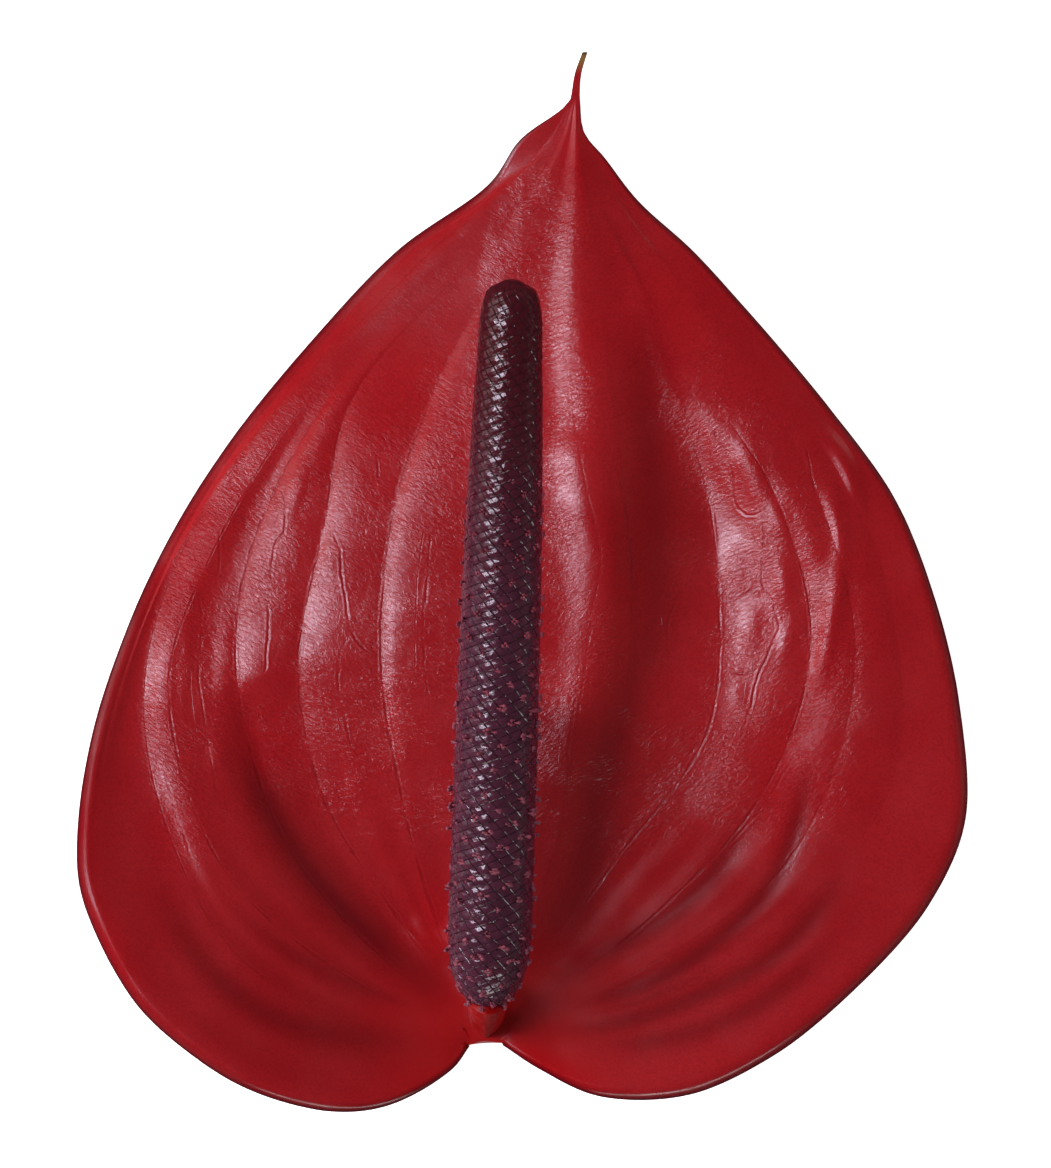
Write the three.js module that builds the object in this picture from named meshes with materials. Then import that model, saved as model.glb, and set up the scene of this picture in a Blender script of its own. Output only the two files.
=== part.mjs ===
// Anthurium flower head, cut short and lying on its back: a waxy heart-shaped spathe, the spadix with its
// florets and anthers, and the short peduncle that carries both.
// Millimetres. +Z is up and the face of the spathe looks up. +Y points to its tip, +X to the face's right.
// The origin is below the middle of the flower head, on the surface that it lies on.

import * as THREE from "three";

// Driving sizes of the blade. Shares count along its veins, from 0 at the base to 1 at the root of the tail.
const BLADE_THICKNESS = 1.0;
const VEIN_STEPS = 38; // rows from the base to the root of the tail
const TAIL_STEPS = 4;
const PANEL_STEPS = 2; // columns between neighbouring veins
const ROLL_STEPS = 2; // columns over the rolled-back margin
const TAIL_TIP = [8.2, 68.6, 12.4];
const TAIL_BEND = [7.3, 65.8, 11.5];
const TAIL_THICKNESS = 0.7;
const TAIL_TIP_HALF_WIDTH = 0.35;
const THINNING = [0.85, 1]; // the blade thins to the tail's thickness between these shares
const UPRIGHT_BASE = [0, 0.06]; // near the base the thickness turns from upright to square to the face
const UPRIGHT_TAIL = [0.85, 0.97]; // and towards the tail it turns back to upright
const SWELL_RISE = [0.1, 0.5]; // the panels between the veins swell between these shares
const SWELL_FALL = [0.55, 0.85]; // and flatten again between these
const STEEPEST_CREST = 0.6; // radians, the steepest rise of the face to its margin

const SPADIX_LENGTH = 95;
const SPADIX_FOOT = [-4.5, -54.8, 14.6];
const SPADIX_HEADING = 2; // degrees from +Y towards +X
const SPADIX_RISE = 10; // degrees above the blade
const FLORET_PITCH = 0.241; // rise along the spadix from one floret to the next
const FLORET_TURN = -137.508; // degrees round the spadix from one floret to the next
const FLORET_RELIEF = 0.38; // depth of the grooves between florets
const ANTHER_FROM = 3; // anthers stand out along this stretch of the spadix
const ANTHER_TO = 60;
const ANTHER_HEIGHT = 0.85;
const ANTHER_SHARE = 0.18; // width of an anther's foot over the width of its floret
const ANTHER_TAPER = 0.75; // width of its top over the width of its foot
const ANTHER_FOOT = 0.02; // height of its foot over the floret
const FLORET_CROWN = 0.12; // height of the middle of a floret that has no anther
const FLORET_SHOULDER = 0.7; // size of a floret's raised part over its whole size
const THINNEST_RADIUS = 0.3;
const NEIGHBOURS = [5, 8]; // places from one floret to the next along each of the two spiral rows
const FIRST_FLORET = 7; // places from the foot of the spadix to its lowest floret
const BARE_TOP = 6; // places without a floret at the top
// Radius of the spadix at a distance from its foot.
const SPADIX_PROFILE = [
  [0, 1.9], [1, 3.2], [2.5, 4.2], [5, 5.0], [9, 5.4], [20, 5.45], [50, 5.2], [70, 4.8], [85, 4.25],
  [91, 3.9], [93.5, 3.1], [94.6, 1.9], [95, 0.6],
];

const STEM_SIDES = 16;
const STEM_STATIONS = 12;
const STEM_END = [-4.6, -55.5, -2]; // middle of the cut end
const STEM_BELOW_BLADE = [-4.6, -56.8, 4];
const STEM_ABOVE_BLADE = [-4.6, -57.1, 10];
const STIPE_BEND = { back: 1.6, drop: [0, -0.1, -0.7] }; // where it turns into line with the spadix
const STEM_PROFILE = [[0, 2.5], [0.5, 2.6], [0.8, 2.35], [1, 2.1]]; // radius at a share of its length
const CLEARANCE = 0.35; // between neighbouring pieces

// The points below are given as the flower head faces a viewer. It lies tilted from that by these angles,
// so that it rests on the cut end of the peduncle and on the margin to the left and right of the tip.
const REST_TILT_X = -5.48; // degrees
const REST_TILT_Y = 2.68;
const REST_OFFSET = [-0.48, -0.91, -3.53];

// The main veins, each from the base of the blade to the root of its tail, as points on the face.
// They run from the left margin over the midrib to the right margin.
const LEFT_MARGIN = [
  [-6.8, -60.6, 8.4], [-9.1, -63.6, 9.4], [-17.2, -68.2, 11.2], [-25, -69, 12], [-35.4, -66.2, 12.4],
  [-42.9, -61.7, 12.4], [-50.6, -54.5, 12.2], [-57.1, -41.5, 11.6], [-57.9, -35, 11.2], [-56.4, -22, 10.2],
  [-52.5, -9, 8.9], [-46.8, 4, 7.8], [-38.9, 17, 7.3], [-28.5, 30, 7.6], [-16.2, 43, 8.4],
  [-4.2, 51.7, 9.6], [-0.26, 57.3, 10.3], [5.2, 61.3, 10.8], [6.24, 62.5, 10.9],
];
const RIGHT_MARGIN = [
  [-2.5, -60.5, 8.4], [2.3, -63.6, 9.4], [10.1, -67.1, 10.5], [21.8, -66.9, 10.8], [32.9, -61.7, 10.7],
  [42.6, -53.9, 10.5], [53, -42.2, 10.4], [57.7, -31.1, 10.6], [56.8, -15.5, 11.2], [53.7, -2.5, 12],
  [48.5, 10.5, 12.5], [39.1, 23.5, 11.8], [28.1, 36.5, 10.7], [22.1, 43, 10.2], [15, 49.5, 10.2],
  [10.8, 54.9, 10.5], [8.06, 58.3, 10.9], [7.54, 62.5, 10.9],
];
const VEINS = [
  // left half, outer to inner
  [[-7.3, -58.8, 8.3], [-19.8, -58.3, 9], [-37, -48.5, 10.6], [-46.8, -30, 10], [-49, -13, 8.8],
    [-44.5, 3, 8.2], [-33.5, 20, 8.1], [-12, 42.8, 9.7], [2.2, 55.7, 10.4], [6.49, 62.5, 10.9]],
  [[-7.6, -58, 8.2], [-19.8, -53.2, 8.5], [-38.6, -37.6, 10.5], [-45.9, -14.2, 9.6], [-41.6, 0.7, 9],
    [-28.2, 23.2, 8.7], [-9.8, 43, 9.9], [2.99, 56.1, 10.5], [6.57, 62.5, 10.9]],
  [[-7.7, -56.9, 8.1], [-17.8, -49.3, 7.9], [-30.8, -33.7, 9.4], [-36.9, -14.2, 9.5], [-35.4, 3.3, 9],
    [-24.7, 24.4, 9], [-7.4, 43.4, 10.1], [3.77, 56.4, 10.6], [6.66, 62.5, 10.9]],
  [[-7.3, -55.4, 8], [-15.9, -44.1, 7.2], [-25.6, -28.5, 8.6], [-29, -11.6, 10.1], [-25.6, 7.2, 10.2],
    [-22.1, 23.5, 9.5], [-4.5, 43.7, 10.3], [4.55, 56.6, 10.7], [6.75, 62.5, 10.9]],
  [[-6, -54.3, 8], [-10.7, -45.4, 7.1], [-15.5, -28.5, 9.2], [-18.2, -10.3, 11.4], [-16.5, 9.2, 11.3],
    [-11.1, 24.8, 10.8], [-1, 44.1, 10.8], [5.46, 57, 10.9], [6.83, 62.5, 10.9]],
  // midrib
  [[-4.5, -54, 8], [-3, -41.5, 8.5], [-1, -15.5, 12], [0.9, 10.5, 13], [3, 32.6, 11.9], [4.3, 45.6, 11.4],
    [6.24, 57.3, 11], [6.89, 62.5, 10.9]],
  // right half, inner to outer
  [[-3.2, -54.2, 8], [4.4, -35, 9.3], [7.2, -18.1, 11.8], [9.2, -4, 13], [10.2, 3, 13.6], [8.2, 13, 13.8],
    [6.8, 22, 13.4], [6.6, 36.5, 12.7], [7, 46.9, 12], [6.96, 58.6, 11.2], [6.97, 62.5, 10.9]],
  [[-2.1, -55, 8], [8.8, -32.4, 8.6], [13.7, -14.2, 10.9], [14, 2.7, 12.5], [11.7, 23.5, 13.4],
    [10.1, 36.5, 12.6], [8.5, 46.6, 12], [7.15, 58.6, 11.2], [7.05, 62.5, 10.9]],
  [[-1.5, -56.2, 8.1], [11.4, -37.6, 7.7], [24.2, -19.4, 9.4], [25.5, 0.1, 10.1], [23.5, 14, 10.5],
    [19.5, 24.1, 11.3], [14.7, 39.1, 11.5], [9.4, 49.7, 11.4], [7.28, 58.6, 11.1], [7.12, 62.5, 10.9]],
  [[-1.4, -57.3, 8.2], [16.6, -44.1, 8.4], [31.6, -27.2, 9.5], [37.6, -7.7, 11.4], [32.5, 11.8, 13.1],
    [23.1, 26.1, 12.7], [14.7, 41.4, 11.4], [9.8, 51.3, 11], [7.35, 58.6, 11.1], [7.19, 62.5, 10.9]],
  [[-1.5, -58.2, 8.3], [16.6, -50, 9.1], [34.8, -36.3, 9.9], [43.3, -10.3, 11.9], [36.5, 15.4, 13.2],
    [27.4, 28.7, 12.4], [16.4, 43, 11.1], [9.9, 52.8, 10.8], [7.41, 58.6, 11], [7.25, 62.5, 10.9]],
  [[-1.8, -59, 8.4], [12.7, -55.8, 9.3], [33.5, -44.8, 9.9], [48.2, -25.9, 10.7], [47.1, 0.1, 12.2],
    [37.2, 20.2, 12.8], [24.3, 35.7, 11.4], [15.3, 45.8, 10.7], [9.8, 53.9, 10.6], [7.54, 58.6, 11],
    [7.32, 62.5, 10.9]],
];

// How far each panel bulges between its two veins, from the left margin to the right margin.
const PANEL_BULGE = [0, 0.1, -0.2, 0.5, 0.4, 0.6, -0.2, 0.3, -0.4, 0.6, 0.2, 0.2, 0];
// Below 1 the bulge of a panel leans to its left vein, above 1 to its right vein.
const PANEL_LEAN = [1, 1, 1, 0.8, 0.65, 0.5, 1, 1, 0.55, 1.1, 1, 1, 1];

// Width, and turn in degrees, of the rolled-back margin at shares of its length.
const ROLL_WIDTH = [[0, 0.9], [0.12, 2], [0.45, 2], [0.6, 1.3], [0.9, 1.1], [1, 0.15]];
const ROLL_TURN = [[0, 35], [0.12, 85], [0.45, 85], [0.6, 55], [0.9, 45], [1, 6]];

const vector = (p) => new THREE.Vector3(p[0], p[1], p[2]);
const curveThrough = (points) =>
  new THREE.CatmullRomCurve3(points.map((p) => (p.isVector3 ? p : vector(p))), false, "centripetal");

// A smooth 0 to 1 between the two ends of a range.
const within = (at, [from, to]) => THREE.MathUtils.smoothstep(at, from, to);

// Linear reading of a short list of [position, value] pairs.
function reading(pairs, at) {
  const next = pairs.findIndex(([position]) => position >= at);
  if (next < 0) return pairs[pairs.length - 1][1];
  if (next === 0) return pairs[0][1];
  const [p0, v0] = pairs[next - 1];
  const [p1, v1] = pairs[next];
  return THREE.MathUtils.mapLinear(at, p0, p1, v0, v1);
}

// A geometry from a list of points and triples of their numbers.
function geometryOf(points, triangles) {
  const geometry = new THREE.BufferGeometry();
  const numbers = points.flatMap((p) => [p.x, p.y, p.z]);
  geometry.setAttribute("position", new THREE.Float32BufferAttribute(numbers, 3));
  geometry.setIndex(triangles.flat());
  geometry.computeVertexNormals();
  return geometry;
}

// The rolled-back margin at one place along it: from the crest, where the face is highest, over and down.
// It follows an arc that starts at the slope of the face and ends turned down.
function rollPoints(crest, outward, slope, width, turn) {
  const reach = Math.sin(slope) + Math.sin(turn);
  const radius = width / reach;
  const points = [];
  for (let i = 1; i <= ROLL_STEPS; i++) {
    const angle = slope - ((slope + turn) * i) / ROLL_STEPS;
    const out = radius * (Math.sin(slope) - Math.sin(angle));
    const lift = radius * (Math.cos(angle) - Math.cos(slope));
    points.push(crest.clone().addScaledVector(outward, out).add(new THREE.Vector3(0, 0, lift)));
  }
  return points;
}

// Point, crest and outward direction of a margin at a share of its length. side is -1 left, 1 right.
function marginAt(curve, share, side) {
  const edge = curve.getPointAt(share);
  const along = curve.getTangentAt(share).setZ(0).normalize();
  const outward = new THREE.Vector3(along.y, -along.x, 0).multiplyScalar(side);
  const width = reading(ROLL_WIDTH, share);
  const turn = THREE.MathUtils.degToRad(reading(ROLL_TURN, share));
  return { crest: edge.clone().addScaledVector(outward, -width), outward, width, turn };
}

// One row of the face, from the left edge over the midrib to the right edge.
function faceRow(curves, left, right, share) {
  const leftMargin = marginAt(left, share, -1);
  const rightMargin = marginAt(right, share, 1);
  const knots = [leftMargin.crest, ...curves.map((c) => c.getPointAt(share)), rightMargin.crest];
  const row = curveThrough(knots);
  const panels = knots.length - 1;
  const swell = within(share, SWELL_RISE) * (1 - within(share, SWELL_FALL));
  const points = [];
  for (let i = 0; i <= panels * PANEL_STEPS; i++) {
    const panel = Math.min(Math.floor(i / PANEL_STEPS), panels - 1);
    const across = i / PANEL_STEPS - panel;
    const point = row.getPoint(i / (panels * PANEL_STEPS));
    point.z += PANEL_BULGE[panel] * swell * Math.sin(Math.PI * across ** PANEL_LEAN[panel]);
    points.push(point);
  }
  const slopeAt = (inner, crest, outward) => {
    const step = crest.clone().sub(inner);
    return THREE.MathUtils.clamp(Math.atan2(step.z, step.dot(outward)), 0, STEEPEST_CREST);
  };
  const last = points.length - 1;
  const leftSlope = slopeAt(points[1], points[0], leftMargin.outward);
  const rightSlope = slopeAt(points[last - 1], points[last], rightMargin.outward);
  return [
    ...rollPoints(points[0], leftMargin.outward, leftSlope, leftMargin.width, leftMargin.turn).reverse(),
    ...points,
    ...rollPoints(points[last], rightMargin.outward, rightSlope, rightMargin.width, rightMargin.turn),
  ];
}

// The rows of the tail: the last row of the face, drawn together along the tail's own curve.
function tailRows(root) {
  const middle = root[(root.length - 1) / 2];
  const line = curveThrough([middle, TAIL_BEND, TAIL_TIP]);
  const halfWidth = root[0].distanceTo(root[root.length - 1]) / 2;
  const rows = [];
  for (let i = 1; i <= TAIL_STEPS; i++) {
    const centre = line.getPoint(i / TAIL_STEPS);
    const narrowing = THREE.MathUtils.lerp(1, TAIL_TIP_HALF_WIDTH / halfWidth, Math.sqrt(i / TAIL_STEPS));
    rows.push(root.map((p) => p.clone().sub(middle).multiplyScalar(narrowing).add(centre)));
  }
  return rows;
}

// A closed sheet from the rows of its face: the back lies a thickness behind it, and strips close the rim.
// The thickness is measured square to the face, and upright at the narrow base and in the tail.
function sheetFrom(rows, thickness) {
  const across = rows[0].length;
  const count = rows.length * across;
  const face = rows.flat();
  const triangles = [];
  for (let i = 0; i < rows.length - 1; i++) {
    for (let j = 0; j < across - 1; j++) {
      const a = i * across + j;
      triangles.push([a, a + 1, a + across + 1], [a, a + across + 1, a + across]);
    }
  }
  const normals = geometryOf(face, triangles).getAttribute("normal");
  const back = face.map((p, i) => {
    const share = Math.floor(i / across) / VEIN_STEPS;
    const upright = Math.max(1 - within(share, UPRIGHT_BASE), within(share, UPRIGHT_TAIL));
    const through = new THREE.Vector3().fromBufferAttribute(normals, i);
    through.lerp(new THREE.Vector3(0, 0, 1), upright).normalize();
    return p.clone().addScaledVector(through, -thickness(share));
  });
  const all = [...triangles, ...triangles.map(([a, b, c]) => [a + count, c + count, b + count])];
  const rim = [];
  for (let j = 0; j < across - 1; j++) rim.push(j);
  for (let i = 0; i < rows.length - 1; i++) rim.push(i * across + across - 1);
  for (let j = across - 1; j > 0; j--) rim.push((rows.length - 1) * across + j);
  for (let i = rows.length - 1; i > 0; i--) rim.push(i * across);
  rim.forEach((a, i) => {
    const b = rim[(i + 1) % rim.length];
    all.push([a, a + count, b + count], [a, b + count, b]);
  });
  return geometryOf([...face, ...back], all);
}

function spatheGeometry() {
  const curves = VEINS.map(curveThrough);
  const left = curveThrough(LEFT_MARGIN);
  const right = curveThrough(RIGHT_MARGIN);
  const rows = [];
  for (let i = 0; i <= VEIN_STEPS; i++) rows.push(faceRow(curves, left, right, i / VEIN_STEPS));
  rows.push(...tailRows(rows[VEIN_STEPS]));
  const thickness = (share) => THREE.MathUtils.lerp(BLADE_THICKNESS, TAIL_THICKNESS, within(share, THINNING));
  return sheetFrom(rows, thickness);
}

// The spadix stands along +Y here. Each floret is a four-sided cushion whose corners it shares with its
// neighbours in both spiral rows, and the lower ones carry an anther.
function spadixGeometry() {
  const florets = Math.floor(SPADIX_LENGTH / FLORET_PITCH) - BARE_TOP;
  const turn = THREE.MathUtils.degToRad(FLORET_TURN);
  const wrapped = (steps) => steps * turn - 2 * Math.PI * Math.round((steps * turn) / (2 * Math.PI));
  const [near, far] = NEIGHBOURS;
  const up = { angle: (wrapped(near) + wrapped(far)) / 2, rise: ((near + far) / 2) * FLORET_PITCH };
  const aside = { angle: (wrapped(near) - wrapped(far)) / 2, rise: ((near - far) / 2) * FLORET_PITCH };
  const onSurface = (angle, distance, height) => {
    const along = THREE.MathUtils.clamp(distance, 0, SPADIX_LENGTH);
    const radius = Math.max(reading(SPADIX_PROFILE, along) + height, THINNEST_RADIUS);
    return new THREE.Vector3(radius * Math.sin(angle), along, radius * Math.cos(angle));
  };
  const points = [];
  const triangles = [];
  const add = (angle, distance, height) => points.push(onSurface(angle, distance, height)) - 1;
  const corners = new Map();
  const corner = (place) => {
    if (!corners.has(place)) {
      const angle = place * turn + up.angle;
      const distance = (place + FIRST_FLORET) * FLORET_PITCH + up.rise;
      corners.set(place, add(angle, distance, -FLORET_RELIEF));
    }
    return corners.get(place);
  };
  const ring = (inner, outer) => {
    for (let i = 0; i < 4; i++) {
      const j = (i + 1) % 4;
      triangles.push([outer[i], outer[j], inner[j]], [outer[i], inner[j], inner[i]]);
    }
  };
  const square = (angle, distance, share, height) =>
    [
      [-up.angle, -up.rise],
      [aside.angle, aside.rise],
      [up.angle, up.rise],
      [-aside.angle, -aside.rise],
    ].map(([a, d]) => add(angle + a * share, distance + d * share, height));
  for (let k = 0; k < florets; k++) {
    const angle = k * turn;
    const distance = (k + FIRST_FLORET) * FLORET_PITCH;
    // corners in turn: below, right, above, left
    const outer = [corner(k - near - far), corner(k - far), corner(k), corner(k - near)];
    const shoulder = square(angle, distance, FLORET_SHOULDER, 0);
    ring(shoulder, outer);
    if (distance > ANTHER_FROM && distance < ANTHER_TO) {
      const foot = square(angle, distance, ANTHER_SHARE, ANTHER_FOOT);
      const top = square(angle, distance, ANTHER_SHARE * ANTHER_TAPER, ANTHER_HEIGHT);
      ring(foot, shoulder);
      ring(top, foot);
      triangles.push([top[0], top[1], top[2]], [top[0], top[2], top[3]]);
    } else {
      const middle = add(angle, distance, FLORET_CROWN);
      for (let i = 0; i < 4; i++) triangles.push([shoulder[i], shoulder[(i + 1) % 4], middle]);
    }
  }
  closeEnds(points, triangles, SPADIX_LENGTH);
  return geometryOf(points, triangles);
}

// Closes the open loops of the spadix, at its foot and at its top, each to one point on the axis.
function closeEnds(points, triangles, length) {
  const edges = new Map();
  for (const [a, b, c] of triangles) {
    for (const [from, to] of [[a, b], [b, c], [c, a]]) edges.set(from + "," + to, [from, to]);
  }
  const open = [...edges.values()].filter(([from, to]) => !edges.has(to + "," + from));
  const foot = points.push(new THREE.Vector3(0, 0, 0)) - 1;
  const top = points.push(new THREE.Vector3(0, length, 0)) - 1;
  for (const [from, to] of open) triangles.push([to, from, points[from].y < length / 2 ? foot : top]);
}

// The direction of the spadix in the flower head.
function spadixAxis() {
  const heading = THREE.MathUtils.degToRad(SPADIX_HEADING);
  const rise = THREE.MathUtils.degToRad(SPADIX_RISE);
  const level = new THREE.Vector3(Math.sin(heading), Math.cos(heading), 0);
  return level.multiplyScalar(Math.cos(rise)).setZ(Math.sin(rise));
}

// The peduncle stands on its cut end, passes the base of the blade and bends over to the foot of the spadix.
function peduncleGeometry() {
  const axis = spadixAxis();
  const end = vector(SPADIX_FOOT).addScaledVector(axis, -CLEARANCE);
  const untilted = new THREE.Quaternion().setFromEuler(restTilt()).invert();
  const cutNormal = new THREE.Vector3(0, 0, 1).applyQuaternion(untilted);
  const bend = end.clone().addScaledVector(axis, -STIPE_BEND.back).add(vector(STIPE_BEND.drop));
  const line = curveThrough([STEM_END, STEM_BELOW_BLADE, STEM_ABOVE_BLADE, bend, end]);
  const rings = [];
  const points = [];
  const triangles = [];
  for (let i = 0; i <= STEM_STATIONS; i++) {
    const share = i / STEM_STATIONS;
    const centre = line.getPointAt(share);
    const forward = i === 0 ? cutNormal : i === STEM_STATIONS ? axis : line.getTangentAt(share);
    const right = new THREE.Vector3(1, 0, 0).addScaledVector(forward, -forward.x).normalize();
    const over = new THREE.Vector3().crossVectors(forward, right);
    const radius = reading(STEM_PROFILE, share);
    rings.push(points.length);
    for (let j = 0; j < STEM_SIDES; j++) {
      const angle = (2 * Math.PI * j) / STEM_SIDES;
      const out = right.clone().multiplyScalar(Math.cos(angle)).addScaledVector(over, Math.sin(angle));
      points.push(centre.clone().addScaledVector(out, radius));
    }
  }
  for (let i = 0; i < STEM_STATIONS; i++) {
    for (let j = 0; j < STEM_SIDES; j++) {
      const next = (j + 1) % STEM_SIDES;
      const [a, b] = [rings[i], rings[i + 1]];
      triangles.push([a + j, a + next, b + next], [a + j, b + next, b + j]);
    }
  }
  for (let j = 1; j < STEM_SIDES - 1; j++) {
    triangles.push([rings[0], rings[0] + j + 1, rings[0] + j]);
    triangles.push([rings[STEM_STATIONS], rings[STEM_STATIONS] + j, rings[STEM_STATIONS] + j + 1]);
  }
  return geometryOf(points, triangles);
}

// The tilt from facing a viewer to lying at rest.
function restTilt() {
  return new THREE.Euler(THREE.MathUtils.degToRad(REST_TILT_X), THREE.MathUtils.degToRad(REST_TILT_Y), 0);
}

function piece(name, geometry, color, roughness) {
  const mesh = new THREE.Mesh(geometry, new THREE.MeshStandardMaterial({ color, roughness, metalness: 0 }));
  mesh.name = name;
  return mesh;
}

const spathe = piece("spathe", spatheGeometry(), 0xa01c22, 0.35);
const peduncle = piece("peduncle", peduncleGeometry(), 0xb02025, 0.4);

// The spadix is turned from +Y to its own axis, with its front kept upwards.
const spadix = piece("spadix", spadixGeometry(), 0x4a2030, 0.45);
const axis = spadixAxis();
const across = new THREE.Vector3().crossVectors(axis, new THREE.Vector3(0, 0, 1)).normalize();
const front = new THREE.Vector3().crossVectors(across, axis);
spadix.position.set(...SPADIX_FOOT);
spadix.quaternion.setFromRotationMatrix(new THREE.Matrix4().makeBasis(across, axis, front));

const head = new THREE.Group();
head.add(spathe, spadix, peduncle);
head.rotation.copy(restTilt());
head.position.set(...REST_OFFSET);

export default head;
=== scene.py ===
import math

import bmesh
import bpy
import numpy as np
from mathutils import Matrix, Vector


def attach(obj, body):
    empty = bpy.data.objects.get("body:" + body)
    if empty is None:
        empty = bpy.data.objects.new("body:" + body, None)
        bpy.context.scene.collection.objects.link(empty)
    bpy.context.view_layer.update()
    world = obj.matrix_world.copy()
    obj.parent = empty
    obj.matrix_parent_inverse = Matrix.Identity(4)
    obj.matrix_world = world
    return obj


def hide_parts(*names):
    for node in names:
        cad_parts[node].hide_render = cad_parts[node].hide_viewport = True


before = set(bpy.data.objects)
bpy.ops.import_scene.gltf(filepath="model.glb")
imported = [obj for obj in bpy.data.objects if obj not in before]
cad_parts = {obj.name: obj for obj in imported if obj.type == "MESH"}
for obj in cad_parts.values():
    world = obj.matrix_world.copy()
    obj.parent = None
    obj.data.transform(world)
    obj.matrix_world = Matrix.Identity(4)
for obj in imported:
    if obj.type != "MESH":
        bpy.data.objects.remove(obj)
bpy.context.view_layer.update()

# All sizes below are millimetres in the frame of a viewer who faces the flower head: X to the right,
# Y to the tip and Z towards the viewer. `lying` turns that frame into the pose at rest, in metres.
MM = 0.001
REST_TILT_X = -5.48
REST_TILT_Y = 2.68
REST_OFFSET = (-0.48, -0.91, -3.53)

# The spathe's outline, from its base to the root of its tail.
LEFT_MARGIN = [
    (-6.8, -60.6, 8.4), (-9.1, -63.6, 9.4), (-17.2, -68.2, 11.2), (-25, -69, 12), (-35.4, -66.2, 12.4),
    (-42.9, -61.7, 12.4), (-50.6, -54.5, 12.2), (-57.1, -41.5, 11.6), (-57.9, -35, 11.2),
    (-56.4, -22, 10.2), (-52.5, -9, 8.9), (-46.8, 4, 7.8), (-38.9, 17, 7.3), (-28.5, 30, 7.6),
    (-16.2, 43, 8.4), (-4.2, 51.7, 9.6), (-0.26, 57.3, 10.3), (5.2, 61.3, 10.8), (6.24, 62.5, 10.9),
]
RIGHT_MARGIN = [
    (-2.5, -60.5, 8.4), (2.3, -63.6, 9.4), (10.1, -67.1, 10.5), (21.8, -66.9, 10.8), (32.9, -61.7, 10.7),
    (42.6, -53.9, 10.5), (53, -42.2, 10.4), (57.7, -31.1, 10.6), (56.8, -15.5, 11.2), (53.7, -2.5, 12),
    (48.5, 10.5, 12.5), (39.1, 23.5, 11.8), (28.1, 36.5, 10.7), (22.1, 43, 10.2), (15, 49.5, 10.2),
    (10.8, 54.9, 10.5), (8.06, 58.3, 10.9), (7.54, 62.5, 10.9),
]
# The main veins from the base to the root of the tail: five on the left, the midrib, six on the right.
VEINS = [
    [(-7.3, -58.8, 8.3), (-19.8, -58.3, 9), (-37, -48.5, 10.6), (-46.8, -30, 10), (-49, -13, 8.8),
     (-44.5, 3, 8.2), (-33.5, 20, 8.1), (-12, 42.8, 9.7), (2.2, 55.7, 10.4), (6.49, 62.5, 10.9)],
    [(-7.6, -58, 8.2), (-19.8, -53.2, 8.5), (-38.6, -37.6, 10.5), (-45.9, -14.2, 9.6), (-41.6, 0.7, 9),
     (-28.2, 23.2, 8.7), (-9.8, 43, 9.9), (2.99, 56.1, 10.5), (6.57, 62.5, 10.9)],
    [(-7.7, -56.9, 8.1), (-17.8, -49.3, 7.9), (-30.8, -33.7, 9.4), (-36.9, -14.2, 9.5), (-35.4, 3.3, 9),
     (-24.7, 24.4, 9), (-7.4, 43.4, 10.1), (3.77, 56.4, 10.6), (6.66, 62.5, 10.9)],
    [(-7.3, -55.4, 8), (-15.9, -44.1, 7.2), (-25.6, -28.5, 8.6), (-29, -11.6, 10.1), (-25.6, 7.2, 10.2),
     (-22.1, 23.5, 9.5), (-4.5, 43.7, 10.3), (4.55, 56.6, 10.7), (6.75, 62.5, 10.9)],
    [(-6, -54.3, 8), (-10.7, -45.4, 7.1), (-15.5, -28.5, 9.2), (-18.2, -10.3, 11.4), (-16.5, 9.2, 11.3),
     (-11.1, 24.8, 10.8), (-1, 44.1, 10.8), (5.46, 57, 10.9), (6.83, 62.5, 10.9)],
    [(-4.5, -54, 8), (-3, -41.5, 8.5), (-1, -15.5, 12), (0.9, 10.5, 13), (3, 32.6, 11.9),
     (4.3, 45.6, 11.4), (6.24, 57.3, 11), (6.89, 62.5, 10.9)],
    [(-3.2, -54.2, 8), (4.4, -35, 9.3), (7.2, -18.1, 11.8), (9.2, -4, 13), (10.2, 3, 13.6),
     (8.2, 13, 13.8), (6.8, 22, 13.4), (6.6, 36.5, 12.7), (7, 46.9, 12), (6.96, 58.6, 11.2),
     (6.97, 62.5, 10.9)],
    [(-2.1, -55, 8), (8.8, -32.4, 8.6), (13.7, -14.2, 10.9), (14, 2.7, 12.5), (11.7, 23.5, 13.4),
     (10.1, 36.5, 12.6), (8.5, 46.6, 12), (7.15, 58.6, 11.2), (7.05, 62.5, 10.9)],
    [(-1.5, -56.2, 8.1), (11.4, -37.6, 7.7), (24.2, -19.4, 9.4), (25.5, 0.1, 10.1), (23.5, 14, 10.5),
     (19.5, 24.1, 11.3), (14.7, 39.1, 11.5), (9.4, 49.7, 11.4), (7.28, 58.6, 11.1), (7.12, 62.5, 10.9)],
    [(-1.4, -57.3, 8.2), (16.6, -44.1, 8.4), (31.6, -27.2, 9.5), (37.6, -7.7, 11.4), (32.5, 11.8, 13.1),
     (23.1, 26.1, 12.7), (14.7, 41.4, 11.4), (9.8, 51.3, 11), (7.35, 58.6, 11.1), (7.19, 62.5, 10.9)],
    [(-1.5, -58.2, 8.3), (16.6, -50, 9.1), (34.8, -36.3, 9.9), (43.3, -10.3, 11.9), (36.5, 15.4, 13.2),
     (27.4, 28.7, 12.4), (16.4, 43, 11.1), (9.9, 52.8, 10.8), (7.41, 58.6, 11), (7.25, 62.5, 10.9)],
    [(-1.8, -59, 8.4), (12.7, -55.8, 9.3), (33.5, -44.8, 9.9), (48.2, -25.9, 10.7), (47.1, 0.1, 12.2),
     (37.2, 20.2, 12.8), (24.3, 35.7, 11.4), (15.3, 45.8, 10.7), (9.8, 53.9, 10.6), (7.54, 58.6, 11),
     (7.32, 62.5, 10.9)],
]
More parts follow.
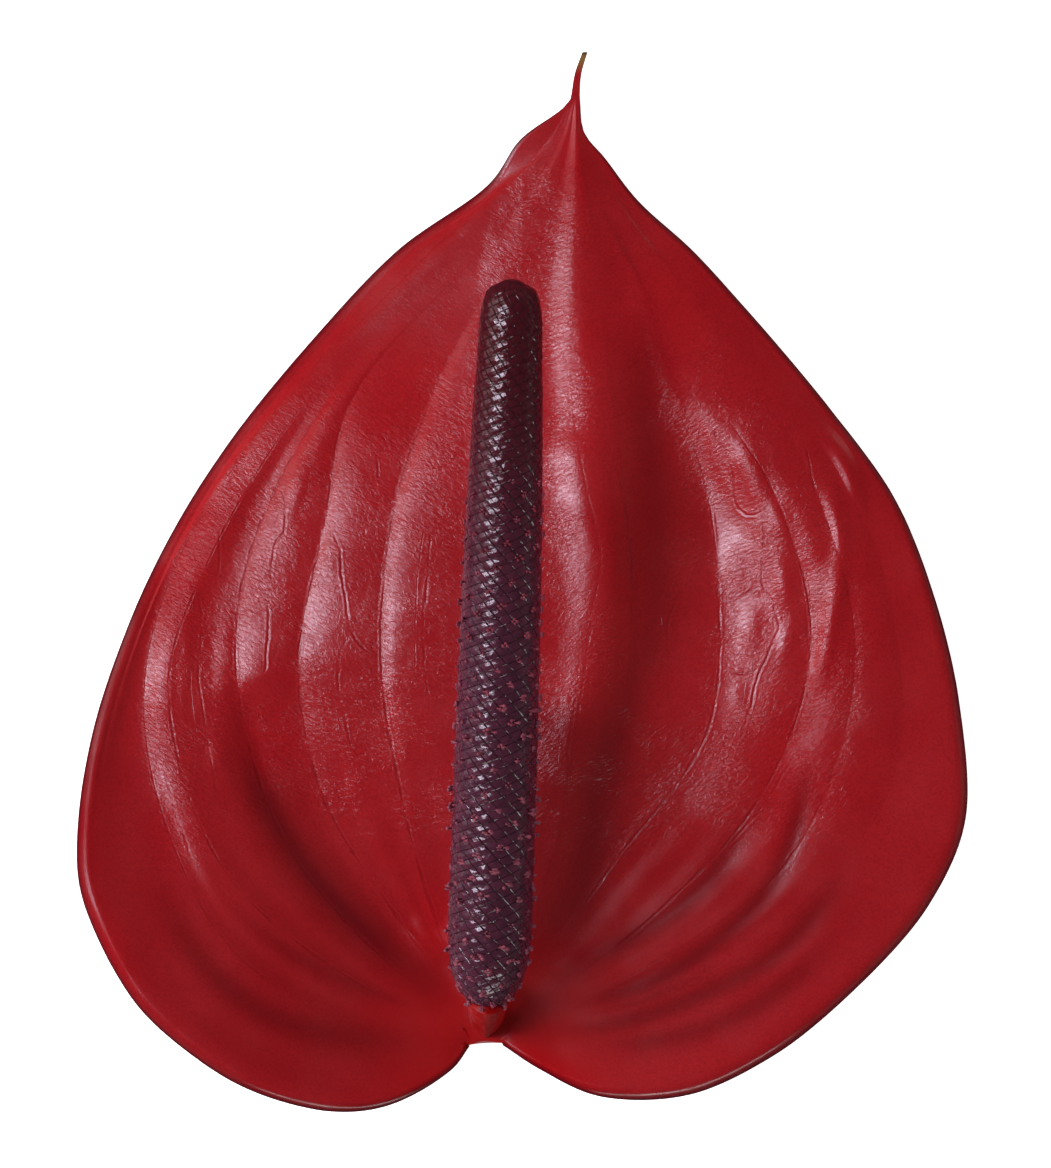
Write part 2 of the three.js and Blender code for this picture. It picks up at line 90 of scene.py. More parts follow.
# The panels between the veins: how far each one bulges, and where its top lies. 1 is the panel's middle,
# less is left of it and more is right of it.
PANEL_BULGE = [0, 0.1, -0.2, 0.5, 0.4, 0.6, -0.2, 0.3, -0.4, 0.6, 0.2, 0.2, 0]
PANEL_LEAN = [1, 1, 1, 0.8, 0.65, 0.5, 1, 1, 0.55, 1.1, 1, 1, 1]
# Where the bulges rise and fall. Spans and the first numbers of pairs are shares of the way from the base to
# the root of the tail, here and wherever nothing else is said.
SWELL_RISE = (0.1, 0.5)
SWELL_FALL = (0.55, 0.85)
# The rolled-back margin: its width, the degrees that it turns, and its steepest start, in radians.
ROLL_WIDTH = [(0, 0.9), (0.12, 2), (0.45, 2), (0.6, 1.3), (0.9, 1.1), (1, 0.15)]
ROLL_TURN = [(0, 35), (0.12, 85), (0.45, 85), (0.6, 55), (0.9, 45), (1, 6)]
STEEPEST_CREST = 0.6
# The blade's thickness. It is measured straight back at the base and at the tail, and square to the face
# between them.
BLADE_THICKNESS = 1.0
TAIL_THICKNESS = 0.7
THINNING = (0.85, 1)
UPRIGHT_BASE = (0, 0.06)
UPRIGHT_TAIL = (0.85, 0.97)
TAIL_TIP = (8.2, 68.6, 12.4)
TAIL_BEND = (7.3, 65.8, 11.5)
TAIL_TIP_HALF_WIDTH = 0.35
# The notch round the peduncle: its rim from left to right, and how far the rim's middle sags away from the
# tip. Below 0 it arches towards the tip.
NOTCH_RIM = [(-7.1, -60.5, 8.3), (-2.6, -60.2, 8.3)]
NOTCH_SAG = -0.15

# How finely a smooth curve is measured.
CURVE_STEPS = 401
# How finely the blade is divided: rows along it, columns across a panel and across a rolled margin.
BLADE_ROWS = 268
TAIL_ROWS = 20
WEB_ROWS = 8
PANEL_COLUMNS = 18
ROLL_COLUMNS = 8

# The ribs between the veins fade towards the tip over the span RIB_FADE, smoothed over so many columns. The
# ones beside the midrib, between the two panels RIB_KEPT, are kept.
RIB_FADE = (0.56, 0.72)
RIB_FADE_REACH = 14
RIB_KEPT = (4.6, 8.1)

# Relief is left out at the very base and at the root of the tail.
RELIEF_RISE = (0, 0.02)
RELIEF_FALL = (0.96, 1)
# Soft ribs that fan out from the base: two a panel, with this slope.
RIBS_A_PANEL = 2
BASE_RIB_SLOPE = 0.07
BASE_RIB_RISE = (0.04, 0.12)
BASE_RIB_FALL = (0.16, 0.36)
# A slight unevenness: its height, and two sizes of wave, of which the finer is this much lower.
UNEVENNESS = 0.016
LONG_WAVE = 14
SHORT_WAVE = 5
SHORT_WAVE_SHARE = 0.4
UNEVEN_RISE = (0.0, 0.12)
UNEVEN_FALL = (0.8, 0.97)
SEED = 7
# Soft ridges and folds are counted out to this many half widths, and taper off over these lengths.
BELL_REACH = 3
RIDGE_TAPER = 7
FOLD_TAPER = 12

# Grooves along the veins, and the raised lips on both sides of them, whose place is in half widths. A vein's
# line is counted out to LINE_REACH, fades over LINE_FADE, wobbles, and tapers off at a side vein's ends.
GROOVE_DEPTH = 0.034
GROOVE_HALF_WIDTH = 0.14
GROOVE_LIP = 0.013
LIP_PLACE = 2.4
LINE_REACH = 1.3
LINE_FADE = (0.7 * LINE_REACH, LINE_REACH)
LINE_WOBBLE = 0.12
LINE_TAPER = 1.6
LINE_STEPS = 240
VEIN_LINE_RISE = (0.03, 0.14)
VEIN_LINE_FALL = (0.55, 0.72)
# How strongly each main vein shows as a fine line, from left to right.
VEIN_LINES = [0.35, 0.8, 1, 1, 1, 0.3, 0.35, 0.35, 0.8, 1, 0.35, 0.2]

# Crinkles of the face: how much they slant away from the midrib, how many there are a metre across and along
# the blade, and their height. They set in over the span CRINKLED_FROM of Y, and weaken past the line
# CRINKLED_TO, which is pairs of X and Y.
CRINKLE_SLANT = 0.45
CRINKLE_SCALE = (1150, 2300)
CRINKLE_HEIGHT = 0.13
CRINKLED_FROM = (-42, -28)
CRINKLED_TO = [(-60, 10), (-8, 18), (-2, 48), (14, 48), (22, 36), (60, 36)]
CRINKLE_FADE = 14
CRINKLE_LOSS = 0.85
# They are left out at the margins: the panels where they start and are full, and where they weaken and end.
CRINKLED_PANELS = (0.4, 1.2, 11.2, 12.4)

# Soft folds that fan out from the base, with painted shade in them: darkness of the painted shade, half
# width, and the line from the outside to the base. The first is a painted shadow of the spadix beside it,
# with a shallow dip. FOLD_DEPTH is the depth of one of these folds at darkness 1.
FOLD_DEPTH = 0.22
SHADED_FOLDS = [
    (0.5, 3.2, [(16.0, 39.1), (16.4, 23.5), (17.3, 7.9), (17.3, -5.1), (13.8, -15.5), (10.1, -27.2),
                (8.8, -36.3), (6.9, -41.5), (3, -46.7), (-0.3, -51.3)]),
    (0.6, 2.6, [(-37.0, -18.4), (-35.5, -24.7), (-32.4, -29.6), (-28.7, -35.2), (-24.4, -40.7),
                (-19.3, -45.7), (-14.5, -50.0), (-9.6, -54.3), (-5.5, -57.8)]),
    (0.4, 1.8, [(-47.8, -38.3), (-44.1, -45.7), (-38.6, -52.4), (-31.2, -56.9), (-23.1, -58.9),
                (-15.6, -59.8), (-9.6, -59.4)]),
    (0.4, 1.0, [(-37.3, -42.0), (-31.8, -46.9), (-25.6, -50.6), (-18.2, -54.0), (-10.2, -56.1)]),
    (0.6, 1.5, [(31.4, -27.0), (28.7, -32.4), (25.3, -37.8), (20.6, -42.5), (15.2, -45.9), (9.1, -49.3),
                (3.1, -52.0)]),
    (0.65, 1.4, [(37.1, -21.0), (36.1, -29.7), (33.4, -37.8), (29.4, -43.2), (24.0, -47.9), (17.2, -52.0),
                 (10.5, -54.3), (3.8, -55.7)]),
    (0.6, 1.5, [(43.5, -35.8), (38.1, -43.2), (32.1, -49.3), (24.7, -53.3), (16.6, -56.4), (8.5, -58.1),
                (2.4, -57.7)]),
    (0.5, 1.6, [(42.2, -44.6), (34.1, -52.7), (25.3, -57.7), (15.2, -60.1), (5.8, -60.1)]),
    (0.4, 1.1, [(28.7, -47.3), (23.3, -51.3), (17.2, -54.0), (11.2, -55.7), (4.4, -56.7)]),
]
# Places where the wax is dull: middle, half width, half length, degrees from +Y towards +X, and dullness.
DULL_PATCHES = {
    "upper left": (-29, 27, 16, 11, 20, 0.75),
    "left margin, upper half": (-44, 3, 4.5, 12, 22, 0.7),
    "upper left, beside the spadix": (-17, 24, 9, 8, 0, 0.7),
    "upper right, beside the spadix": (18, 33, 8, 10, -20, 0.85),
    "left margin, lower half": (-49, -20, 3.4, 6, 5, 0.45),
    "right margin": (44, -2, 3.5, 9, 0, 0.4),
    "right, outer panels": (37.5, -16, 4, 9, 20, 0.6),
    "right lobe, inner panels": (18, -35, 3.5, 10, 45, 0.75),
    "left of the spadix's foot": (-11.5, -44.5, 4.5, 5, 0, 1.0),
    "right lobe, outer panels": (34, -29, 6, 9, 30, 0.9),
    "left edge": (-57.8, -30, 2.5, 14, 0, 1.0),
    "left edge of the lobe": (-53.5, -49, 3, 9, -20, 0.9),
    "left lobe": (-45, -33, 4, 5, -20, 0.6),
    "edge right of the notch": (4, -64, 2.5, 8, -62, 1.0),
    "root of the tail": (6.5, 54, 2.5, 8, 0, 0.8),
    "left, inner panels": (-33, -21, 4.5, 5, 0, 0.6),
    "right, inner panels": (28, -22, 7, 6, 30, 0.4),
}

# Side veins, as places on the face with the strength of each line. Lines that meet are in different sets.
SIDE_VEINS = [
    [
        (0.8, [(-42, -0.1), (-41.7, -5), (-41.6, -7.7), (-42.1, -10.5), (-41.7, -15.4), (-41, -20.1),
               (-39.6, -27.9)]),
        (0.9, [(-31.3, 12.4), (-30.8, 9.2), (-30.9, 6.4), (-32, 4.6), (-32.9, -1.2), (-33, -7.7),
               (-33.4, -12.3)]),
        (1.1, [(-25.4, 7), (-23.9, 4.7), (-23.3, 0.5), (-22.6, -4.5), (-22.1, -6.7), (-20.9, -8.4),
               (-19.4, -9.6)]),
        (0.8, [(-11.7, 6.6), (-12.2, 0.5), (-12.7, -5), (-12.6, -11.4), (-12, -15.5)]),
        (1.0, [(24.7, 20.3), (26.3, 16.2), (27.2, 14.1), (27.3, 11.8), (28.1, 9.4), (29.2, 8.5),
               (30.7, 8.6), (32.1, 10.1), (32.8, 10.6)]),
        (0.7, [(12.1, 15.7), (13.3, 9.4), (14, 4), (14.3, -1.5)]),
        (0.8, [(21.2, -0.7), (20, -2.5), (19.1, -5.5), (19, -11.2), (19.2, -16.2)]),
        (0.5, [(7.2, -12.9), (6.2, -20.7), (5.6, -28.5)]),
        (1.0, [(31.1, -11.4), (29, -12), (26.8, -11.9)]),
        (0.9, [(35.9, 20.2), (37.1, 16.2), (37.7, 13.2), (38.2, 10.9)]),
    ],
    [
        (0.6, [(-39.3, 6.6), (-39.3, 2.7), (-39.5, 1), (-40.4, -0.3), (-41.5, -0.7)]),
        (0.7, [(-30.9, 6.4), (-30.3, 5.1), (-29.4, 3.3)]),
        (0.8, [(-22.1, -6.7), (-23.4, -8.9), (-23.8, -10.6), (-23.7, -14.6), (-23, -18.1), (-22.1, -21.4),
               (-20, -26.6)]),
        (0.6, [(-18.9, 16.7), (-18.5, 12.8)]),
        (1.2, [(31.2, 8.4), (31.3, 5.1), (31.2, 2.1), (31.3, -0.5), (32.2, -2.3), (33.3, -5.3),
               (33.1, -7.1), (32.2, -9.2), (31.1, -11.2), (30.6, -12.9), (29.5, -17.1), (28.3, -20.7)]),
        (0.5, [(19, -5.9), (17.6, -7.2), (15.7, -8.5)]),
    ],
    [
        (0.9, [(31.3, -0.5), (29.5, -1.5), (26.8, -3.3)]),
        (0.5, [(-46.8, -23.3), (-45.5, -28.5), (-43, -36)]),
        (0.5, [(22.5, -38), (30, -31), (36, -22)]),
    ],
]
# Soft ridges of the face, and troughs where the height is negative: height, half width to the left and to
# the right of a line, and the line, from the tip's side towards the base.
RIDGES = [
    (-1.05, 2.4, 7.0, [(-35.6, -12), (-34.4, -21), (-31.5, -29.2), (-28, -35.6), (-22, -42.2),
                       (-16.8, -46.6), (-12, -50.6)]),
    (0.4, 3.0, 3.0, [(5.6, 22), (7.5, 13), (9.6, 3), (9.3, -4), (8.4, -12), (6.6, -20), (3, -30)]),
    (0.5, 1.15, 1.15, [(35.2, 18.1), (36.9, 18.9), (38.7, 18.5), (40.6, 17.2), (42, 14.9), (43, 12.2),
                       (43.9, 9.4), (44.6, 6.3)]),
    (0.42, 1.2, 1.2, [(39.5, 14.4), (40.6, 9.2), (41.3, 5.1), (41.1, 0.1), (40.3, -4.5), (39.3, -9.7),
                      (37.7, -16.2)]),
]
# Cushions between the side veins: middle, half width, half length, degrees from +Y towards +X, and height.
CUSHIONS = [
    (29.8, 14.5, 2.4, 6.0, -14, 0.20), (27.6, 2.6, 2.3, 4.8, -8, 0.22), (29.6, -6.5, 1.9, 4.6, 12, 0.24),
    (33.9, -0.5, 1.7, 4.6, -8, 0.22), (34.4, -7.5, 1.4, 4.0, 14, 0.16), (25.3, 15.5, 1.3, 5.0, -14, 0.12),
    (28.0, -14.5, 1.6, 2.6, 10, 0.12), (33.6, 8.0, 1.7, 4.2, -18, 0.14),
    (-38.6, -10.0, 1.9, 8.5, 2, 0.16), (-39.4, -22.5, 2.0, 3.2, -10, 0.20),
    (-43.6, -10.0, 1.3, 9.0, 4, 0.10), (-29.4, 11.5, 1.7, 5.2, 14, 0.18),
    (-24.9, 3.5, 0.9, 5.4, -12, 0.08), (-38.2, 14.0, 1.3, 4.6, 32, 0.16),
]

# The spadix: its foot, its heading in degrees from +Y towards +X, its rise towards the viewer in degrees,
# and pairs of the way along its axis and the radius there.
SPADIX_LENGTH = 95
SPADIX_FOOT = (-4.5, -54.8, 14.6)
SPADIX_HEADING = 2
SPADIX_RISE = 10
SPADIX_PROFILE = [
    (0, 1.9), (1, 3.2), (2.5, 4.2), (5, 5.0), (9, 5.4), (20, 5.45), (50, 5.2), (70, 4.8), (85, 4.25),
    (91, 3.9), (93.5, 3.1),
]
# The core under the florets: how much of a tepal's height it lies below the profile, where it starts, and the
# round tip past the profile's last place, as pairs of a radius and the way from the very tip.
CORE_SINK = 0.8
CORE_START = (0, -0.02)
CORE_TIP = [(1.55, 0.55), (0.9, 0.2), (0, 0.05)]
CORE_STEPS = 400

# Florets in a spiral: millimetres along the spadix and degrees round it from one to the next. A floret
# touches those that come NEIGHBOURS steps after it. So many start below the foot and end past the tip, and
# their heights differ by the share FLORET_UNEVENNESS.
FLORET_PITCH = 0.241
FLORET_TURN = -137.508
NEIGHBOURS = (5, 8)
FLORETS_BELOW = 14
FLORETS_PAST = 16
FLORET_UNEVENNESS = 0.25
# A tepal's height, how flat its top is, and the places across it that hold its points.
TEPAL_HEIGHT = 0.13
TEPAL_SQUARENESS = 6
TEPAL_MARKS = (0, 0.08, 0.5, 0.92, 1)
# Where the lower florets, which shade the spathe, end and the upper ones start.
LOWER_FLORETS = 42
# The florets flatten over FOOT_FADE at the foot, and between these two ways from the tip at the top.
FOOT_FADE = 1.0
TOP_FADE = (1.5, 4.5)
# Points of neighbours that are nearer than this are joined.
WELD = 0.01

# An anther: a small ball on a stalk. The ball's rings are in degrees from its top.
ANTHER_DIAMETER = 0.52
ANTHER_REACH = 0.75
ANTHER_TURNS = (150, 110, 70, 30)
ANTHER_SIDES = 7
STALK_RADIUS = 0.10
STALK_DEPTH = 0.15
# Anthers stand round the middle of each floret: how far from it and above the core, and how unevenly, in
# radians. OFTEN is how often the ones above and below the middle show.
ANTHERS_A_FLORET = 4
FIRST_WITH_ANTHERS = 7
ANTHER_SPREAD = 0.29
ANTHER_LIFT = 0.1
ANTHER_JITTER = 0.4
OFTEN = 0.9
# Their sizes, as shares. They shrink between the two ways RIPE along the spadix, and there are none past the
# second or nearer the foot than ANTHER_BARE.
ANTHER_SIZES = (0.8, 1.15)
RIPE = (30, 73)
UNRIPE_WIDTH = 0.75
UNRIPE_HEIGHT = 0.35
ANTHER_BARE = 1.5
# The spadix's mean radius turns a way round it into an angle.
MEAN_RADIUS = 5.2

# The peduncle: its line from the cut end to the spadix, the last place relative to the spadix's foot, and
# radii and keel at shares of the way. The keel is on the side away from the tip of the spathe, which turns
# towards the viewer at the spadix.
STEM_LINE = [(-4.6, -55.5, -2), (-4.6, -56.8, 4), (-4.7, -57.3, 7.5), (-4.6, -57.0, 10.5),
             (-4.55, -55.6, 13.4)]
STEM_END = (0.05, 0.6, 0.1)
STEM_RADII = [(0, 2.5), (0.3, 2.6), (0.5, 2.3), (0.62, 1.9), (0.8, 2.3), (1, 2.8)]
STEM_KEEL = [(0, 0), (0.4, 0), (0.55, 0.6), (0.8, 0.45), (1, 0.2)]
KEEL_REACH = 0.18
STEM_SIDES = 48
STEM_RINGS = 90

# Camera: a long lens above the face, level with the viewer's frame. The sensor is in millimetres too.
VIEW_CENTRE = (0.455, -0.455, 10)
VIEW_HEIGHT = 151.84
VIEW_DISTANCE = 1500
SENSOR = 36
# In metres: how near and how far the camera sees, and half the floor's width.
VIEW_RANGE = (0.01, 20)
FLOOR_HALF_WIDTH = 4.0

# How strongly the wax mirrors where it isn't dull, and how firm the edge of a dull patch is.
WAX_SHINE = 0.85
PATCH_EDGE = 1.5
# The base of the spathe is a purer red over this span.
REDDER_BASE = (0.0, 0.12)
# Colours, as linear red, green and blue.
WAX_DEEP, WAX_BRIGHT = (0.31, 0.0075, 0.0105, 1), (0.38, 0.0110, 0.0145, 1)
SPECK = (0.17, 0.003, 0.007, 1)
BASE_RED = (0.33, 0.0035, 0.0045, 1)
# Painted shade in the folds, and a painted shadow of the spadix:
FOLD_SHADE_RED = (0.12, 0.003, 0.005, 1)
# Painted shade in the vein grooves:
VEIN_SHADE_RED = (0.14, 0.002, 0.005, 1)
# Painted shade on the rolled rim:
RIM_SHADE = (0.045, 0.001, 0.004, 1)
BACK_RED = (0.33, 0.02, 0.03, 1)
TAIL_BROWN, TAIL_BURNT = (0.24, 0.13, 0.04, 1), (0.03, 0.02, 0.015, 1)
TEPAL_DEEP, TEPAL_BRIGHT = (0.052, 0.011, 0.024, 1), (0.078, 0.016, 0.033, 1)
TEPAL_MAROON = (0.055, 0.0035, 0.0075, 1)
SEAM_DARK = (0.012, 0.002, 0.004, 1)
ANTHER_DEEP, ANTHER_BRIGHT = (0.13, 0.018, 0.035, 1), (0.26, 0.06, 0.09, 1)
ANTHER_UNRIPE = (0.15, 0.014, 0.028, 1)
STEM_DEEP, STEM_BRIGHT = (0.20, 0.0010, 0.0015, 1), (0.27, 0.003, 0.0035, 1)
FLOOR_GREY, WHITE = (0.9, 0.9, 0.9, 1), (1, 1, 1, 1)


def lying():
    """From the viewer's frame in millimetres to the pose at rest in metres."""
    tilt_x = Matrix.Rotation(math.radians(REST_TILT_X), 4, "X")
    tilt_y = Matrix.Rotation(math.radians(REST_TILT_Y), 4, "Y")
    return Matrix.Scale(MM, 4) @ Matrix.Translation(REST_OFFSET) @ (tilt_x @ tilt_y)


def smooth(at, span):
    """A smooth 0 to 1 between the two ends of a span."""
    share = np.clip((np.asarray(at, float) - span[0]) / (span[1] - span[0]), 0, 1)
    return share * share * (3 - 2 * share)


def swelling(at, rise, fall):
    """A smooth 0 to 1 over one span, and back to 0 over another."""
    return smooth(at, rise) * (1 - smooth(at, fall))


def reading(pairs, at):
    """The value at a place, between those that the pairs of place and value give."""
    return np.interp(at, [p[0] for p in pairs], [p[1] for p in pairs])


def through(points, at):
    """Places at parameters 0 to 1 of a smooth curve through the points."""
    points = np.asarray(points, float)
    last = len(points) - 1
    place = np.clip(np.atleast_1d(np.asarray(at, float)), 0, 1) * last
    i = np.minimum(place.astype(int), last - 1)
    w = (place - i)[:, None]
    ends = np.vstack([2 * points[0] - points[1], points, 2 * points[-1] - points[-2]])
    p0, p1, p2, p3 = ends[i], ends[i + 1], ends[i + 2], ends[i + 3]
    d0, d1, d2 = (np.sqrt(np.linalg.norm(b - a, axis=1))[:, None] for a, b in ((p0, p1), (p1, p2), (p2, p3)))
    t1 = ((p1 - p0) / d0 - (p2 - p0) / (d0 + d1) + (p2 - p1) / d1) * d1
    t2 = ((p2 - p1) / d1 - (p3 - p1) / (d1 + d2) + (p3 - p2) / d2) * d1
    return p1 + w * t1 + w**2 * (3 * (p2 - p1) - 2 * t1 - t2) + w**3 * (2 * (p1 - p2) + t1 + t2)


def run_of(line):
    """How far along a line each of its points is."""
    return np.concatenate([[0], np.cumsum(np.linalg.norm(np.diff(line, axis=0), axis=1))])


def along(points, shares):
    """Places at shares of the length of a smooth curve through the points."""
    fine = np.linspace(0, 1, CURVE_STEPS)
    length = run_of(through(points, fine))
    return through(points, np.interp(np.asarray(shares) * length[-1], length, fine))


def unit(vectors):
    return vectors / np.maximum(np.linalg.norm(vectors, axis=-1, keepdims=True), 1e-9)


def linked(name, data):
    """A new object in the scene, with its data."""
    made = bpy.data.objects.new(name, data)
    bpy.context.scene.collection.objects.link(made)
    return made


def mesh_piece(name, points, faces, attributes=None):
    """A smooth-shaded mesh object from points in the viewer's frame."""
    mesh = bpy.data.meshes.new(name)
    mesh.from_pydata([tuple(p) for p in points], [], faces)
    mesh.transform(lying())
    for label, values in (attributes or {}).items():
        mesh.attributes.new(label, "FLOAT", "POINT").data.foreach_set("value", values.astype(np.float32))
    mesh.shade_smooth()
    return linked(name, mesh)


def grid_faces(rows, columns, start=0, turned=False):
    """The four-sided faces of a grid of points, whose first point has the number start."""
    corner = start + np.arange(rows * columns).reshape(rows, columns)
    quads = np.stack([corner[:-1, :-1], corner[:-1, 1:], corner[1:, 1:], corner[1:, :-1]], -1).reshape(-1, 4)
    return (quads[:, ::-1] if turned else quads).tolist()


def tube_faces(rings, sides):
    """The faces of a tube of rings of points, with both its ends closed."""
    faces = []
    for i in range(rings - 1):
        for j in range(sides):
            a, b = i * sides + j, i * sides + (j + 1) % sides
            faces.append((a, b, b + sides, a + sides))
    faces.append(tuple(range(sides))[::-1])
    faces.append(tuple((rings - 1) * sides + j for j in range(sides)))
    return faces


# The spathe

def margin(points, shares, side):
    """Crest, outward direction, roll width and roll turn along one margin. side is -1 left, 1 right."""
    step = 1e-3
    edge = along(points, shares)
    run = along(points, np.clip(shares + step, 0, 1)) - along(points, np.clip(shares - step, 0, 1))
    run[:, 2] = 0
    run = unit(run)
    outward = np.stack([run[:, 1], -run[:, 0], 0 * run[:, 0]], 1) * side
    width = reading(ROLL_WIDTH, shares)
    return edge - outward * width[:, None], outward, width, np.radians(reading(ROLL_TURN, shares))


def rolled(crest, inner, outward, width, turn):
    """The columns over a rolled-back margin, from just past its crest to its edge."""
    rise = crest - inner
    slope = np.clip(np.arctan2(rise[:, 2], (rise * outward).sum(1)), 0, STEEPEST_CREST)
    radius = width / (np.sin(slope) + np.sin(turn))
    columns = []
    for i in range(1, ROLL_COLUMNS + 1):
        angle = slope - (slope + turn) * i / ROLL_COLUMNS
        place = crest + outward * (radius * (np.sin(slope) - np.sin(angle)))[:, None]
        place[:, 2] += radius * (np.cos(angle) - np.cos(slope))
        columns.append(place)
    return columns


def eased(heights, shares, places):
    """The heights of the face with its ribs faded out towards the tip, apart from those beside the midrib."""
    reach = RIB_FADE_REACH
    weights = np.exp(-0.5 * (np.arange(-2 * reach, 2 * reach + 1) / reach) ** 2)
    padded = np.pad(heights, ((0, 0), (2 * reach, 2 * reach)), mode="reflect", reflect_type="odd")
    soft = np.stack([np.convolve(row, weights / weights.sum(), "valid") for row in padded])
    first, last = RIB_KEPT
    faded = 1 - swelling(places, (first - 1, first), (last, last + 1))
    return heights + (soft - heights) * smooth(shares, RIB_FADE)[:, None] * faded[None]


def blade_face():
    """Rows of the smooth face from the base to the root of the tail, with each row's share of the way and
    each column's place in panels from the left margin. The rolled margins are the places under 0 and past
    the last panel."""
    shares = np.linspace(0, 1, BLADE_ROWS + 1)
    left = margin(LEFT_MARGIN, shares, -1)
    right = margin(RIGHT_MARGIN, shares, 1)
    knots = np.stack([left[0], *(along(vein, shares) for vein in VEINS), right[0]], 1)
    panels = knots.shape[1] - 1
    places = np.arange(panels * PANEL_COLUMNS + 1) / PANEL_COLUMNS
    rows = np.stack([through(row, places / panels) for row in knots])
    panel = np.minimum(places.astype(int), panels - 1)
    arch = np.array(PANEL_BULGE)[panel] * np.sin(np.pi * (places - panel) ** np.array(PANEL_LEAN)[panel])
    rows[:, :, 2] += swelling(shares, SWELL_RISE, SWELL_FALL)[:, None] * arch
    rows[:, :, 2] = eased(rows[:, :, 2], shares, places)
    left_roll = rolled(rows[:, 0], rows[:, PANEL_COLUMNS // 2], *left[1:])
    right_roll = rolled(rows[:, -1], rows[:, -1 - PANEL_COLUMNS // 2], *right[1:])
    face = np.concatenate([np.stack(left_roll[::-1], 1), rows, np.stack(right_roll, 1)], 1)
    outside = np.arange(1, ROLL_COLUMNS + 1) / ROLL_COLUMNS
    return face, shares, np.concatenate([-outside[::-1], places, panels + outside])


def with_tail(rows):
    """Adds the rows of the tail: the last row, drawn together along the tail's own curve."""
    root = rows[-1]
    middle = root[len(root) // 2]
    half_width = np.linalg.norm(root[0] - root[-1]) / 2
    steps = np.arange(1, TAIL_ROWS + 1) / TAIL_ROWS
    centres = through([middle, TAIL_BEND, TAIL_TIP], steps)
    narrowing = 1 + (TAIL_TIP_HALF_WIDTH / half_width - 1) * np.sqrt(steps)
    tail = (root - middle)[None] * narrowing[:, None, None] + centres[:, None]
    return np.concatenate([rows, tail])


def with_web(rows):
    """Adds the rows that close the notch round the peduncle, from its rim up to the first row of the face."""
    root = rows[0]
    across = np.linspace(0, 1, len(root))[:, None]
    rim = NOTCH_RIM[0] + (np.array(NOTCH_RIM[1]) - NOTCH_RIM[0]) * across
    rim[:, 1] -= NOTCH_SAG * np.sin(np.pi * across[:, 0])
    steps = (np.arange(WEB_ROWS) / WEB_ROWS)[:, None, None]
    web = rim[None] * (1 - steps) + root[None] * steps
    return np.concatenate([web, rows])


def row_normals(rows):
    return unit(np.cross(np.gradient(rows, axis=1), np.gradient(rows, axis=0)))


def waves(x, y, length, seed, count=9, sizes=(0.7, 1.5)):
    """A smooth random field of about -1 to 1 whose bumps are `length` long, give or take the sizes."""
    draw = np.random.default_rng(seed)
    field = np.zeros_like(x)
    for _ in range(count):
        heading, phase = draw.uniform(0, 2 * np.pi, 2)
        size = length * draw.uniform(*sizes)
        field += np.cos(2 * np.pi * (x * np.cos(heading) + y * np.sin(heading)) / size + phase)
    return field / math.sqrt(count)


def near_line(points, line, reach):
    """The points within reach of a line, seen from the front: their numbers, their distances to the line,
    which are negative on the right of its course, and their ways to its nearer end."""
    course = along(line, np.linspace(0, 1, LINE_STEPS))
    heading = unit(np.gradient(course, axis=0))
    run = run_of(course)
    low, high = course.min(0) - reach, course.max(0) + reach
    near = np.flatnonzero(((points > low) & (points < high)).all(1))
    apart = points[near, None] - course[None]
    nearest = (apart**2).sum(2).argmin(1)
    offset = apart[np.arange(len(near)), nearest]
    signed = heading[nearest, 0] * offset[:, 1] - heading[nearest, 1] * offset[:, 0]
    return near, signed, np.minimum(run[nearest], run[-1] - run[nearest])


def soft_line(points, line, taper, left_width, right_width):
    """The points near a line that runs down the face, and how high each is on a soft ridge, from 0 to 1. Left
    and right are the viewer's."""
    near, signed, to_end = near_line(points, line, BELL_REACH * max(left_width, right_width))
    half_width = np.where(signed < 0, left_width, right_width)
    return near, smooth(to_end, (0, taper)) * np.exp(-((signed / half_width) ** 2))


def from_middle(points, x, y, half_width, half_length, heading):
    """The squared distance of points from the middle of an oval patch, which is 1 at the patch's outline."""
    turn = math.radians(heading)
    dx, dy = points[:, 0] - x, points[:, 1] - y
    lengthwise = (dx * math.sin(turn) + dy * math.cos(turn)) / half_length
    sideways = (dx * math.cos(turn) - dy * math.sin(turn)) / half_width
    return lengthwise**2 + sideways**2


def side_vein_set(points, lines):
    """Signed distance to the nearest line of a set, and how strongly the line shows, for each point."""
    distance = np.full(len(points), LINE_REACH)
    strength = np.zeros(len(points))
    for depth, line in lines:
        near, signed, to_end = near_line(points, line, LINE_REACH)
        closer = np.abs(signed) < np.abs(distance[near])
        near, signed, to_end = near[closer], signed[closer], to_end[closer]
        distance[near] = signed
        strength[near] = depth * smooth(to_end, (0, LINE_TAPER)) * (1 - smooth(np.abs(signed), LINE_FADE))
    return distance, strength


def vein_lines(rows, shares):
    """Distance from each place to the nearest main vein, and how strongly the vein shows there."""
    steps = np.linalg.norm(np.diff(rows, axis=1), axis=2)
    run = np.concatenate([np.zeros((len(rows), 1)), np.cumsum(steps, axis=1)], 1)
    shown = swelling(shares, VEIN_LINE_RISE, VEIN_LINE_FALL)[:, None]
    distance = np.full(run.shape, LINE_REACH)
    strength = np.zeros(run.shape)
    for number, vein_strength in enumerate(VEIN_LINES, 1):
        column = ROLL_COLUMNS + number * PANEL_COLUMNS
        apart = np.abs(run - run[:, column : column + 1])
        nearer = apart < distance
        distance = np.where(nearer, apart, distance)
        strength = np.where(nearer, vein_strength * shown * (1 - smooth(apart, LINE_FADE)), strength)
    return distance, strength


def fold_depths_and_shade(points):
    """How deep each point of the face lies in the soft folds that fan out from the base, from 0 to 1. The
    same share darkens the colour there as painted shade.
    """
    deep = np.zeros(len(points))
    for darkness, half_width, line in SHADED_FOLDS:
        near, here = soft_line(points, line, FOLD_TAPER, half_width, half_width)
        deep[near] = np.maximum(deep[near], darkness * here)
    return deep


